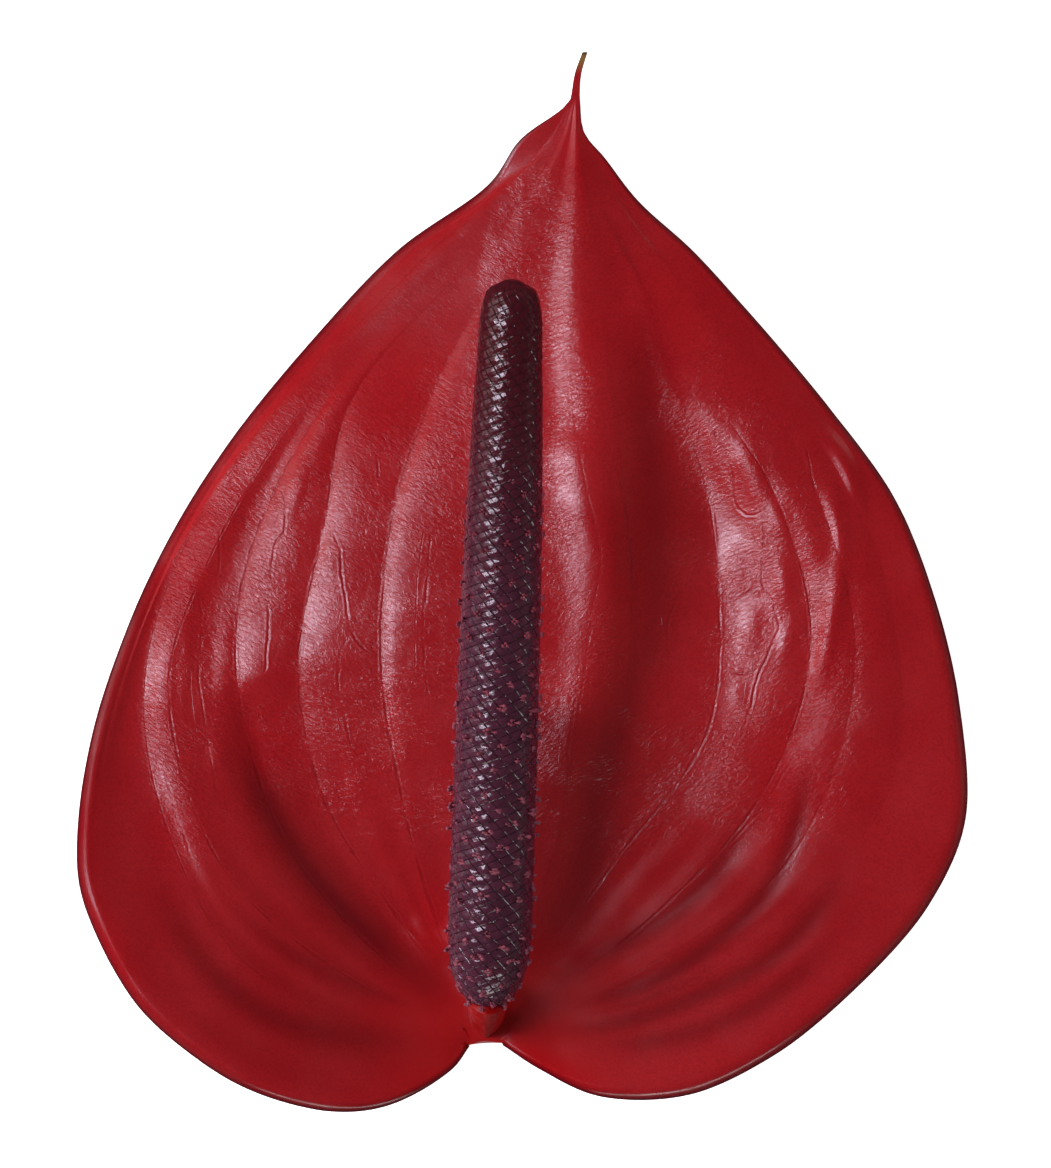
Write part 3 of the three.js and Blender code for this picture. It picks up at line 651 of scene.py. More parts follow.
def dullness(points):
    """How dull the wax is at each point of the face, from 0 to 1."""
    shine = np.ones(len(points))
    for *patch, depth in DULL_PATCHES.values():
        shine *= 1 - depth * np.exp(-(from_middle(points, *patch) ** PATCH_EDGE))
    return 1 - shine


def crinkling(rows, places):
    """How crinkled each place of the face is, from 0 to 1."""
    x, y = rows[:, :, 0], rows[:, :, 1]
    inside = swelling(places, CRINKLED_PANELS[:2], CRINKLED_PANELS[2:])
    past = smooth(y - reading(CRINKLED_TO, x), (0, CRINKLE_FADE))
    return smooth(y, CRINKLED_FROM) * inside * (1 - CRINKLE_LOSS * past)


def base_ribs(rows, shares, places):
    """The soft ribs that fan out from the base, as high as the width of their panel allows."""
    turn = 2 * np.pi * RIBS_A_PANEL
    panel_width = np.linalg.norm(np.gradient(rows, axis=1), axis=2) * PANEL_COLUMNS
    ribs = BASE_RIB_SLOPE * panel_width / turn * np.cos(turn * places)[None]
    on_panels = (places > 0) & (places < len(VEINS) + 1)
    return ribs * swelling(shares, BASE_RIB_RISE, BASE_RIB_FALL)[:, None] * on_panels[None]


def face_relief(rows, shares, places, points, fold_depth_and_shade):
    """Soft relief of the face along its normal: ridges, cushions, folds, ribs and a slight unevenness."""
    x, y = rows[:, :, 0], rows[:, :, 1]
    relief = np.zeros(len(points))
    for height, left_width, right_width, line in RIDGES:
        near, here = soft_line(points, line, RIDGE_TAPER, left_width, right_width)
        relief[near] += height * here
    for *patch, height in CUSHIONS:
        relief += height * np.maximum(1 - from_middle(points, *patch), 0) ** 2
    relief -= FOLD_DEPTH * fold_depth_and_shade
    uneven = waves(x, y, LONG_WAVE, SEED + 1) + SHORT_WAVE_SHARE * waves(x, y, SHORT_WAVE, SEED + 2)
    uneven *= UNEVENNESS * swelling(shares, UNEVEN_RISE, UNEVEN_FALL)[:, None]
    relief = relief.reshape(x.shape) + base_ribs(rows, shares, places) + uneven
    return relief * swelling(shares, RELIEF_RISE, RELIEF_FALL)[:, None]


def rim_numbers(rows, columns):
    """Numbers of a grid's rim points in turn."""
    corner = np.arange(rows * columns).reshape(rows, columns)
    return np.concatenate([corner[0, :-1], corner[:-1, -1], corner[-1, :0:-1], corner[:0:-1, 0]])


def blade_faces(face_size, back_size):
    """The faces of the blade: its face, its back with half as many rows and columns, and the rim between."""
    count = face_size[0] * face_size[1]
    faces = grid_faces(*face_size) + grid_faces(*back_size, count, turned=True)
    front_rim = rim_numbers(*face_size).tolist()
    back_rim = (rim_numbers(*back_size) + count).tolist()
    for i, back in enumerate(back_rim):
        before, middle = front_rim[2 * i], front_rim[2 * i + 1]
        after = front_rim[(2 * i + 2) % len(front_rim)]
        next_back = back_rim[(i + 1) % len(back_rim)]
        faces += [[before, back, middle], [middle, back, next_back], [middle, next_back, after]]
    return faces


def spathe():
    """The blade with its tail: a closed mesh that carries the values that its finish reads."""
    face_rows, shares, places = blade_face()
    seen = face_rows[:, :, :2].reshape(-1, 2)
    fold_depth_and_shade = fold_depths_and_shade(seen)
    relief = face_relief(face_rows, shares, places, seen, fold_depth_and_shade)
    rows = with_web(with_tail(face_rows))
    size = rows.shape[:2]

    def full(values):
        """Values of the face, repeated for the rows of the web and of the tail."""
        values = values.reshape(face_rows.shape[:2])
        before, after = np.repeat(values[:1], WEB_ROWS, 0), np.repeat(values[-1:], TAIL_ROWS, 0)
        return np.concatenate([before, values, after])

    def on_both(values):
        """Values of all rows of the face, followed by those that the back takes over from them."""
        values = np.broadcast_to(values, size)
        return np.concatenate([values.ravel(), values[::2, ::2].ravel()])

    normals = row_normals(rows)
    face = rows + normals * full(relief)[:, :, None]
    # the back lies behind every second row and column of the face
    share = (np.arange(len(rows)) - WEB_ROWS) / BLADE_ROWS
    upright = np.maximum(1 - smooth(share, UPRIGHT_BASE), smooth(share, UPRIGHT_TAIL))[:, None, None]
    through_blade = unit(normals * (1 - upright) + np.array([0, 0, 1.0]) * upright)
    thickness = BLADE_THICKNESS + (TAIL_THICKNESS - BLADE_THICKNESS) * smooth(share, THINNING)
    back = (face - through_blade * thickness[:, None, None])[::2, ::2]
    points = np.concatenate([face.reshape(-1, 3), back.reshape(-1, 3)])

    vein_distance, vein_strength = vein_lines(face_rows, shares)
    past_crest = np.maximum(np.maximum(-places, places - (len(VEINS) + 1)), 0)
    attributes = {
        "vein_distance": on_both(full(vein_distance)),
        "vein_strength": on_both(full(vein_strength)),
        "crinkled": on_both(full(crinkling(face_rows, places))),
        "dull": on_both(full(dullness(seen))),
        # painted shade in the folds, and a painted shadow of the spadix beside it
        "fold": on_both(full(fold_depth_and_shade)),
        # how far past the crest the rolled margin reaches, which the finish paints with shade
        "edge": on_both(past_crest),
        "tail": on_both(np.clip((share - 1) * BLADE_ROWS / TAIL_ROWS, 0, 1)[:, None]),
        "base": on_both(1 - smooth(share, REDDER_BASE)[:, None]),
        "back": np.repeat([0.0, 1.0], [rows[:, :, 0].size, back[:, :, 0].size]),
    }
    for number, lines in enumerate(SIDE_VEINS):
        distance, strength = side_vein_set(seen, lines)
        attributes["side_distance_%d" % number] = on_both(full(distance))
        attributes["side_strength_%d" % number] = on_both(full(strength))
    return mesh_piece("spathe_blade", points, blade_faces(size, back.shape[:2]), attributes)


# Shared helpers for node trees

def add(tree, kind, inputs=None, **settings):
    """A node with its settings and its inputs, each a value or another node's output."""
    made = tree.nodes.new(kind)
    for name, value in settings.items():
        setattr(made, name, value)
    for name, value in (inputs or {}).items():
        if isinstance(value, bpy.types.NodeSocket):
            tree.links.new(value, made.inputs[name])
        else:
            made.inputs[name].default_value = value
    return made


def math_node(tree, operation, *values):
    return add(tree, "ShaderNodeMath", dict(enumerate(values)), operation=operation).outputs[0]


def parts(tree, value):
    """The X, Y and Z of a vector."""
    return add(tree, "ShaderNodeSeparateXYZ", {"Vector": value}).outputs


def vector(tree, x, y, z=0.0):
    return add(tree, "ShaderNodeCombineXYZ", {"X": x, "Y": y, "Z": z}).outputs[0]


def random_value(tree, low, high, seed):
    """A random number from low to high for each point."""
    return add(tree, "FunctionNodeRandomValue", {2: low, 3: high, "Seed": seed}, data_type="FLOAT").outputs[1]


def remap(tree, value, span, to=(0.0, 1.0)):
    """A smooth step from to[0] to to[1] while the value goes over the span."""
    inputs = {"Value": value, "From Min": span[0], "From Max": span[1], "To Min": to[0], "To Max": to[1]}
    return add(tree, "ShaderNodeMapRange", inputs, interpolation_type="SMOOTHSTEP").outputs[0]


def blend_colour(tree, share, first, second):
    return add(tree, "ShaderNodeMix", {0: share, 6: first, 7: second}, data_type="RGBA").outputs[2]


def object_place(tree):
    return add(tree, "ShaderNodeTexCoord").outputs["Object"]


def attribute(tree, name):
    return add(tree, "ShaderNodeAttribute", attribute_name=name).outputs["Fac"]


def noise(tree, place, scale, detail=3.0, roughness=0.5, distortion=0.0):
    """Soft random spots from 0 to 1, scale of them a metre."""
    inputs = {"Vector": place, "Scale": scale, "Detail": detail}
    inputs |= {"Roughness": roughness, "Distortion": distortion}
    return add(tree, "ShaderNodeTexNoise", inputs).outputs[0]


def bump(tree, height, millimetres, under=None):
    """The normal of a relief whose height of 1 is so many millimetres, on top of another normal."""
    inputs = {"Height": height, "Distance": millimetres * MM, "Strength": 1.0}
    if under is not None:
        inputs["Normal"] = under
    return add(tree, "ShaderNodeBump", inputs).outputs[0]


def bell(tree, distance, half_width, centre=0.0):
    """1 at a distance of `centre` from a line, falling to 0 beyond the half width."""
    away = math_node(tree, "DIVIDE", math_node(tree, "SUBTRACT", distance, centre), half_width)
    squared = math_node(tree, "MULTIPLY", away, away)
    return math_node(tree, "EXPONENT", math_node(tree, "MULTIPLY", squared, -1.0))


def new_material(name):
    """A material that has no nodes yet, and its tree."""
    material = bpy.data.materials.new(name)
    material.use_nodes = True
    material.node_tree.nodes.clear()
    return material, material.node_tree


def surface(tree, inputs):
    """The shader of a material."""
    shader = add(tree, "ShaderNodeBsdfPrincipled", inputs)
    add(tree, "ShaderNodeOutputMaterial", {"Surface": shader.outputs[0]})


# Finishes

def vein_grooves(tree, place):
    """Height in millimetres of the grooves along the veins, each with a raised lip on both sides, a little
    wobbly, and broken here and there, and how strongly painted shade darkens each groove."""
    wobble = remap(tree, noise(tree, place, scale=420, detail=2), (0.25, 0.75), (-LINE_WOBBLE, LINE_WOBBLE))
    whole = remap(tree, noise(tree, place, scale=230, detail=2), (0.36, 0.6), (0.15, 1.0))
    height, painted_shade = 0.0, 0.0
    lines = [("vein_distance", "vein_strength")]
    lines += [("side_distance_%d" % number, "side_strength_%d" % number) for number in range(len(SIDE_VEINS))]
    for distance_name, strength_name in lines:
        distance = math_node(tree, "ABSOLUTE", math_node(tree, "ADD", attribute(tree, distance_name), wobble))
        strength = math_node(tree, "MULTIPLY", attribute(tree, strength_name), whole)
        furrow = bell(tree, distance, GROOVE_HALF_WIDTH)
        lip = bell(tree, distance, GROOVE_HALF_WIDTH, LIP_PLACE * GROOVE_HALF_WIDTH)
        raised = math_node(tree, "MULTIPLY", lip, GROOVE_LIP)
        profile = math_node(tree, "MULTIPLY_ADD", furrow, -GROOVE_DEPTH, raised)
        height = math_node(tree, "MULTIPLY_ADD", profile, strength, height)
        # the share of painted shade in the groove
        painted_shade = math_node(tree, "MULTIPLY_ADD", furrow, strength, painted_shade)
    return height, painted_shade


def crinkles(tree, place):
    """Crinkles that fall away from the midrib on both sides, stronger in patches, over fine pores."""
    spot = parts(tree, place)
    away = math_node(tree, "ABSOLUTE", spot["X"])
    level = math_node(tree, "MULTIPLY_ADD", away, -CRINKLE_SLANT, spot["Y"])
    across = math_node(tree, "MULTIPLY", spot["X"], CRINKLE_SCALE[0])
    lengthwise = math_node(tree, "MULTIPLY", level, CRINKLE_SCALE[1])
    drawn = vector(tree, across, lengthwise)
    crinkle = noise(tree, drawn, scale=1.0, detail=3, roughness=0.6, distortion=0.8)
    patches = remap(tree, noise(tree, place, scale=160, detail=2), (0.35, 0.65), (0.35, 1.0))
    shown = math_node(tree, "MULTIPLY", patches, attribute(tree, "crinkled"))
    pores = bump(tree, noise(tree, place, scale=3600, detail=2), millimetres=0.012)
    return bump(tree, math_node(tree, "MULTIPLY", crinkle, shown), CRINKLE_HEIGHT, under=pores)


def waxy_red():
    """The spathe's finish: deep red and waxy, dull in places, with painted shade in its vein grooves, its
    folds and its rolled rim and a painted shadow of the spadix, and with a brown tip to its tail."""
    material, tree = new_material("waxy_red")
    place = object_place(tree)
    groove_height, groove_shade = vein_grooves(tree, place)
    clouds = remap(tree, noise(tree, place, scale=45, detail=4, roughness=0.6), (0.3, 0.7))
    specks = remap(tree, noise(tree, place, scale=3400, detail=2, roughness=0.6), (0.35, 0.7), (0, 0.4))
    at_base = math_node(tree, "MULTIPLY", attribute(tree, "base"), 0.7)
    # painted shade in the vein grooves
    vein_shade = math_node(tree, "MULTIPLY", groove_shade, 0.4)
    # painted shade on the rolled rim, which turns away from the light
    rim_shade = remap(tree, attribute(tree, "edge"), (0.15, 0.95), (0, 0.88))
    on_back = math_node(tree, "MULTIPLY", attribute(tree, "back"), 0.6)
    tail = attribute(tree, "tail")
    colour = blend_colour(tree, clouds, WAX_DEEP, WAX_BRIGHT)
    # The fold tint is painted shade, with a painted shadow of the spadix; the vein and rim tints are painted
    # shade.
    for share, tint in (
        (specks, SPECK), (at_base, BASE_RED), (attribute(tree, "fold"), FOLD_SHADE_RED), (vein_shade, VEIN_SHADE_RED),
        (rim_shade, RIM_SHADE), (on_back, BACK_RED), (remap(tree, tail, (0.45, 0.85)), TAIL_BROWN),
        (remap(tree, tail, (0.9, 1.0)), TAIL_BURNT),
    ):
        colour = blend_colour(tree, share, colour, tint)
    shine = math_node(tree, "MULTIPLY_ADD", attribute(tree, "dull"), -WAX_SHINE, WAX_SHINE)
    blotches = remap(tree, noise(tree, place, scale=90, detail=3, roughness=0.6), (0.38, 0.6), (0.6, 1.0))
    surface(tree, {
        "Base Color": colour,
        "Roughness": remap(tree, noise(tree, place, scale=220), (0.3, 0.7), (0.17, 0.23)),
        "Specular IOR Level": math_node(tree, "MULTIPLY", shine, blotches),
        "Normal": bump(tree, groove_height, millimetres=1, under=crinkles(tree, place)),
    })
    return material


def floret_purple():
    """The tepals' finish: glossy purple with dark seams, maroon towards the top."""
    material, tree = new_material("floret_purple")
    place = object_place(tree)
    mottle = remap(tree, noise(tree, place, scale=600), (0.3, 0.7))
    higher = remap(tree, parts(tree, place)["Y"], (-0.01, 0.035))
    seam = remap(tree, attribute(tree, "seam"), (0.35, 1.0), (0, 0.7))
    purple = blend_colour(tree, mottle, TEPAL_DEEP, TEPAL_BRIGHT)
    lumps = bump(tree, noise(tree, place, scale=900, detail=1), millimetres=0.12)
    surface(tree, {
        "Base Color": blend_colour(tree, seam, blend_colour(tree, higher, purple, TEPAL_MAROON), SEAM_DARK),
        "Roughness": 0.16,
        "Specular IOR Level": 0.9,
        "Normal": bump(tree, noise(tree, place, scale=4200, detail=2), millimetres=0.02, under=lumps),
    })
    return material


def anther_pink():
    """The anthers' finish: mauve pink and slightly mealy, red on the unripe ones higher up."""
    material, tree = new_material("anther_pink")
    place = object_place(tree)
    mottle = remap(tree, noise(tree, place, scale=1700, detail=2), (0.3, 0.7))
    unripe = remap(tree, parts(tree, place)["Y"], (-0.03, 0.01))
    pink = blend_colour(tree, mottle, ANTHER_DEEP, ANTHER_BRIGHT)
    surface(tree, {"Base Color": blend_colour(tree, unripe, pink, ANTHER_UNRIPE), "Roughness": 0.4})
    return material


def stem_red():
    """The peduncle's finish: smooth bright red with fine warts."""
    material, tree = new_material("stem_red")
    warts = noise(tree, object_place(tree), scale=1200, detail=2)
    surface(tree, {
        "Base Color": blend_colour(tree, remap(tree, warts, (0.3, 0.7)), STEM_DEEP, STEM_BRIGHT),
        "Roughness": 0.34,
        "Specular IOR Level": 0.18,
        "Normal": bump(tree, warts, millimetres=0.12),
    })
    return material


def floor_white():
    """The floor's finish: dull, and bright by itself, so that it comes out white all over."""
    material, tree = new_material("floor_white")
    surface(tree, {
        "Base Color": FLOOR_GREY,
        "Roughness": 0.9,
        "Specular IOR Level": 0.1,
        "Emission Color": WHITE,
        "Emission Strength": 1.0,
    })
    return material


# The spadix

def spadix_frame():
    """From the upright spadix, with its axis along +Y and its front along +Z, to the viewer's frame."""
    heading, rise = math.radians(SPADIX_HEADING), math.radians(SPADIX_RISE)
    axis = Vector((math.sin(heading) * math.cos(rise), math.cos(heading) * math.cos(rise), math.sin(rise)))
    across = axis.cross(Vector((0, 0, 1))).normalized()
    front = across.cross(axis)
    turn = Matrix((across, axis, front)).transposed().to_4x4()
    return Matrix.Translation(SPADIX_FOOT) @ turn


def wrapped(steps):
    """The angle round the spadix between florets some steps apart, by the shorter way round."""
    turn = steps * math.radians(FLORET_TURN)
    return turn - 2 * math.pi * round(turn / (2 * math.pi))


def floret_mesh():
    """One floret, unrolled: X is the angle round the spadix, Y the way along it and Z the height.
    Its four flat tepals meet in seams that run from its middle to the middles of its sides."""
    near, far = NEIGHBOURS
    up = np.array([(wrapped(near) + wrapped(far)) / 2, (near + far) / 2 * FLORET_PITCH])
    aside = np.array([(wrapped(near) - wrapped(far)) / 2, (near - far) / 2 * FLORET_PITCH])
    corners = [-up, aside, up, -aside]
    count = len(TEPAL_MARKS)
    points, faces, seams = [], [], []
    for i in range(4):
        corner, before, after = corners[i], corners[i - 1], corners[(i + 1) % 4]
        first, second = (corner + before) / 2, (corner + after) / 2
        start = len(points)
        for a in TEPAL_MARKS:
            for b in TEPAL_MARKS:
                flat = first * a * (1 - b) + second * b * (1 - a) + corner * a * b
                arch = (1 - abs(2 * a - 1) ** TEPAL_SQUARENESS) * (1 - abs(2 * b - 1) ** TEPAL_SQUARENESS)
                points.append((flat[0], flat[1] * MM, TEPAL_HEIGHT * arch * MM))
                seams.append(1.0 - arch)
        faces += grid_faces(count, count, start, turned=True)
    mesh = bpy.data.meshes.new("floret")
    mesh.from_pydata(points, [], faces)
    mesh.attributes.new("seam", "FLOAT", "POINT").data.foreach_set("value", seams)
    return mesh


def anther_mesh():
    """One anther: a small ball on a short stalk, standing along +Z."""
    ball = ANTHER_DIAMETER / 2
    rings = [(STALK_RADIUS, -STALK_DEPTH)]
    for turn in ANTHER_TURNS:
        angle = math.radians(turn)
        rings.append((ball * math.sin(angle), ANTHER_REACH - ball + ball * math.cos(angle)))
    points = []
    for radius, height in rings:
        for j in range(ANTHER_SIDES):
            angle = 2 * math.pi * j / ANTHER_SIDES
            points.append((radius * math.cos(angle) * MM, radius * math.sin(angle) * MM, height * MM))
    mesh = bpy.data.meshes.new("anther")
    mesh.from_pydata(points, [], tube_faces(len(rings), ANTHER_SIDES))
    mesh.shade_smooth()
    return mesh


def spadix_outline():
    """The outline of the spadix under its florets, as a curve: X is the radius, Y the way along the axis."""
    places = [CORE_START]
    places += [(radius - TEPAL_HEIGHT * CORE_SINK, way) for way, radius in SPADIX_PROFILE]
    places += [(radius, SPADIX_LENGTH - way) for radius, way in CORE_TIP]
    curve = bpy.data.curves.new("spadix_outline", "CURVE")
    curve.dimensions = "3D"
    spline = curve.splines.new("POLY")
    fine = along(np.c_[places, np.zeros(len(places))], np.linspace(0, 1, CORE_STEPS)) * MM
    spline.points.add(len(fine) - 1)
    for point, place in zip(spline.points, fine):
        point.co = (*place, 1)
    return linked("spadix_outline", curve)


def group_tree(name, inputs):
    """A geometry node tree with a geometry in and out and the named inputs."""
    tree = bpy.data.node_groups.new(name, "GeometryNodeTree")
    tree.interface.new_socket("Geometry", in_out="INPUT", socket_type="NodeSocketGeometry")
    for label, kind in inputs.items():
        tree.interface.new_socket(label, in_out="INPUT", socket_type="NodeSocket" + kind)
    tree.interface.new_socket("Geometry", in_out="OUTPUT", socket_type="NodeSocketGeometry")
    return tree, tree.nodes.new("NodeGroupInput").outputs, tree.nodes.new("NodeGroupOutput").inputs


def wrapped_place(tree, outline, angle, distance, height):
    """Place and outward direction on the spadix for an angle, a way along its outline and a height."""
    curve = add(tree, "GeometryNodeObjectInfo", {"Object": outline}).outputs["Geometry"]
    inputs = {"Curves": curve, "Length": distance}
    sample = add(tree, "GeometryNodeSampleCurve", inputs, mode="LENGTH").outputs
    spot, run = parts(tree, sample["Position"]), parts(tree, sample["Tangent"])
    out = run["Y"]
    ahead = math_node(tree, "MULTIPLY", run["X"], -1.0)
    radius = math_node(tree, "MULTIPLY_ADD", out, height, spot["X"])
    way = math_node(tree, "MULTIPLY_ADD", ahead, height, spot["Y"])
    sine, cosine = math_node(tree, "SINE", angle), math_node(tree, "COSINE", angle)

    def round_axis(from_axis, along_axis):
        aside = math_node(tree, "MULTIPLY", from_axis, sine)
        front = math_node(tree, "MULTIPLY", from_axis, cosine)
        return vector(tree, aside, along_axis, front)

    return round_axis(radius, way), round_axis(out, ahead)


def copies(tree, small, points, **placing):
    """Real copies of a small mesh on points."""
    inputs = {"Points": points, "Instance": small, **placing}
    made = add(tree, "GeometryNodeInstanceOnPoints", inputs).outputs[0]
    return add(tree, "GeometryNodeRealizeInstances", {"Geometry": made}).outputs[0]


def finish_tree(tree, result, geometry, finish):
    """Ends a tree with the geometry in its finish."""
    done = add(tree, "GeometryNodeSetMaterial", {"Geometry": geometry, "Material": finish}).outputs[0]
    tree.links.new(done, result[0])


SPIRAL_INPUTS = {
    "Outline": "Object", "Count": "Int", "Pitch": "Float", "Turn": "Float", "First": "Float", "Seed": "Int",
    "Finish": "Material",
}
FLORET_INPUTS = {
    "Uneven": "Float", "Length": "Float", "Foot fade": "Float", "Top bare": "Float", "Top fade": "Float",
    "Weld": "Float",
}
ANTHER_INPUTS = {
    "Radius": "Float", "Spread": "Float", "Lift": "Float", "Bare foot": "Float", "Ripe from": "Float",
    "Ripe to": "Float",
}


def floret_tree():
    """Rows of florets in spirals: the floret is repeated on the unrolled spadix, then wrapped round it."""
    tree, given, result = group_tree("floret_spirals", {**SPIRAL_INPUTS, **FLORET_INPUTS})
    place = math_node(tree, "ADD", add(tree, "GeometryNodeInputIndex").outputs[0], given["First"])
    angle = math_node(tree, "MULTIPLY", place, given["Turn"])
    distance = math_node(tree, "MULTIPLY", place, given["Pitch"])
    spot = vector(tree, angle, distance)
    points = add(tree, "GeometryNodePoints", {"Count": given["Count"], "Position": spot}).outputs[0]
    least = math_node(tree, "SUBTRACT", 1.0, given["Uneven"])
    most = math_node(tree, "ADD", 1.0, given["Uneven"])
    size = vector(tree, 1.0, 1.0, random_value(tree, least, most, given["Seed"]))
    flat = copies(tree, given["Geometry"], points, Scale=size)
    where = parts(tree, add(tree, "GeometryNodeInputPosition").outputs[0])
    to_top = math_node(tree, "SUBTRACT", given["Length"], where["Y"])
    at_foot = remap(tree, where["Y"], (0.0, given["Foot fade"]))
    at_top = remap(tree, to_top, (given["Top bare"], given["Top fade"]))
    height = math_node(tree, "MULTIPLY", where["Z"], math_node(tree, "MULTIPLY", at_foot, at_top))
    wrapped_spot, _ = wrapped_place(tree, given["Outline"], where["X"], where["Y"], height)
    covering = add(tree, "GeometryNodeSetPosition", {"Geometry": flat, "Position": wrapped_spot}).outputs[0]
    inputs = {"Geometry": covering, "Distance": given["Weld"]}
    welded = add(tree, "GeometryNodeMergeByDistance", inputs).outputs[0]
    finish_tree(tree, result, welded, given["Finish"])
    return tree


def anther_tree():
    """Anthers round the middles of the florets, smaller and lower towards the top of the spadix."""
    tree, given, result = group_tree("anther_spirals", {**SPIRAL_INPUTS, **ANTHER_INPUTS})
    index = add(tree, "GeometryNodeInputIndex").outputs[0]
    a_floret = float(ANTHERS_A_FLORET)
    floret = math_node(tree, "FLOOR", math_node(tree, "DIVIDE", index, a_floret))
    number = math_node(tree, "SUBTRACT", index, math_node(tree, "MULTIPLY", floret, a_floret))
    place = math_node(tree, "ADD", floret, given["First"])
    even = math_node(tree, "MULTIPLY", number, 2 * math.pi / ANTHERS_A_FLORET)
    jitter = random_value(tree, -ANTHER_JITTER, ANTHER_JITTER, given["Seed"])
    heading = math_node(tree, "ADD", even, jitter)
    aside = math_node(tree, "MULTIPLY", math_node(tree, "COSINE", heading), given["Spread"])
    ahead = math_node(tree, "MULTIPLY", math_node(tree, "SINE", heading), given["Spread"])
    round_spadix = math_node(tree, "DIVIDE", aside, given["Radius"])
    angle = math_node(tree, "MULTIPLY_ADD", place, given["Turn"], round_spadix)
    distance = math_node(tree, "MULTIPLY_ADD", place, given["Pitch"], ahead)
    on_spadix, outward = wrapped_place(tree, given["Outline"], angle, distance, given["Lift"])
    count = math_node(tree, "MULTIPLY", given["Count"], a_floret)
    points = add(tree, "GeometryNodePoints", {"Count": count, "Position": on_spadix}).outputs[0]
    # The two at a floret's sides always show, and the two above and below its middle nearly always.
    above_or_below = math_node(tree, "MODULO", number, 2.0)
    chance = random_value(tree, 0.0, 1.0, math_node(tree, "ADD", given["Seed"], 1.0))
    missing = math_node(tree, "MULTIPLY", above_or_below, math_node(tree, "GREATER_THAN", chance, OFTEN))
    early = math_node(tree, "LESS_THAN", distance, given["Bare foot"])
    late = math_node(tree, "GREATER_THAN", distance, given["Ripe to"])
    gone = math_node(tree, "MAXIMUM", missing, math_node(tree, "MAXIMUM", early, late))
    inputs = {"Geometry": points, "Selection": gone}
    kept = add(tree, "GeometryNodeDeleteGeometry", inputs, domain="POINT").outputs[0]
    turn = add(tree, "FunctionNodeAlignRotationToVector", {"Vector": outward}, axis="Z").outputs[0]
    ripe = remap(tree, distance, (given["Ripe to"], given["Ripe from"]))
    size = random_value(tree, *ANTHER_SIZES, math_node(tree, "ADD", given["Seed"], 2.0))

    def ripening(unripe):
        """A size that grows from its unripe share to the whole."""
        return math_node(tree, "MULTIPLY", size, math_node(tree, "MULTIPLY_ADD", ripe, 1.0 - unripe, unripe))

    width, tall = ripening(UNRIPE_WIDTH), ripening(UNRIPE_HEIGHT)
    real = copies(tree, given["Geometry"], kept, Rotation=turn, Scale=vector(tree, width, width, tall))
    finish_tree(tree, result, real, given["Finish"])
    return tree


def grown(name, small_mesh, tree, values):
    """A plain mesh piece from a node tree that repeats a small mesh, put in place on the flower head."""
    maker = linked(name + "_maker", small_mesh)
    modifier = maker.modifiers.new("grow", "NODES")
    modifier.node_group = tree
    for item in tree.interface.items_tree:
        if item.item_type == "SOCKET" and item.in_out == "INPUT" and item.name in values:
            modifier[item.identifier] = values[item.name]
    graph = bpy.context.evaluated_depsgraph_get()
    mesh = bpy.data.meshes.new_from_object(maker.evaluated_get(graph), depsgraph=graph)
    mesh.name = name
    bpy.data.objects.remove(maker)
    mesh.transform(lying() @ spadix_frame() @ Matrix.Scale(MM, 4).inverted())
    return linked(name, mesh)


def closed(piece):
    """Closes the open loops of a piece, inside the spadix."""
    shape = bmesh.new()
    shape.from_mesh(piece.data)
    bmesh.ops.holes_fill(shape, edges=[edge for edge in shape.edges if edge.is_boundary], sides=0)
    bmesh.ops.recalc_face_normals(shape, faces=shape.faces)
    shape.to_mesh(piece.data)
    shape.free()
    return piece


def spadix():
    """The lower florets, the upper florets and the anthers."""
    outline = spadix_outline()
    length = outline.data.splines[0].calc_length()
    rows = int(length / (FLORET_PITCH * MM))
    spiral = {"Outline": outline, "Pitch": FLORET_PITCH * MM, "Turn": math.radians(FLORET_TURN), "Seed": SEED}
    covering = {
        **spiral, "Finish": floret_purple(), "Uneven": FLORET_UNEVENNESS, "Length": length,
        "Foot fade": FOOT_FADE * MM, "Top bare": TOP_FADE[0] * MM, "Top fade": TOP_FADE[1] * MM,
        "Weld": WELD * MM,
    }
    cuts = [-FLORETS_BELOW, int(LOWER_FLORETS / FLORET_PITCH), rows + FLORETS_PAST]
    florets = []
    for name, first, end in zip(("florets_lower", "florets_upper"), cuts, cuts[1:]):
        values = {**covering, "First": float(first), "Count": end - first}
        florets.append(closed(grown(name, floret_mesh(), floret_tree(), values)))
    values = {
        **spiral, "Finish": anther_pink(), "First": float(FIRST_WITH_ANTHERS), "Count": rows,
        "Radius": MEAN_RADIUS * MM, "Spread": ANTHER_SPREAD * MM, "Lift": ANTHER_LIFT * MM,
        "Bare foot": ANTHER_BARE * MM, "Ripe from": RIPE[0] * MM, "Ripe to": RIPE[1] * MM,
    }
    anthers = grown("spadix_anthers", anther_mesh(), anther_tree(), values)
    bpy.data.objects.remove(outline)
    return *florets, anthers


# The peduncle

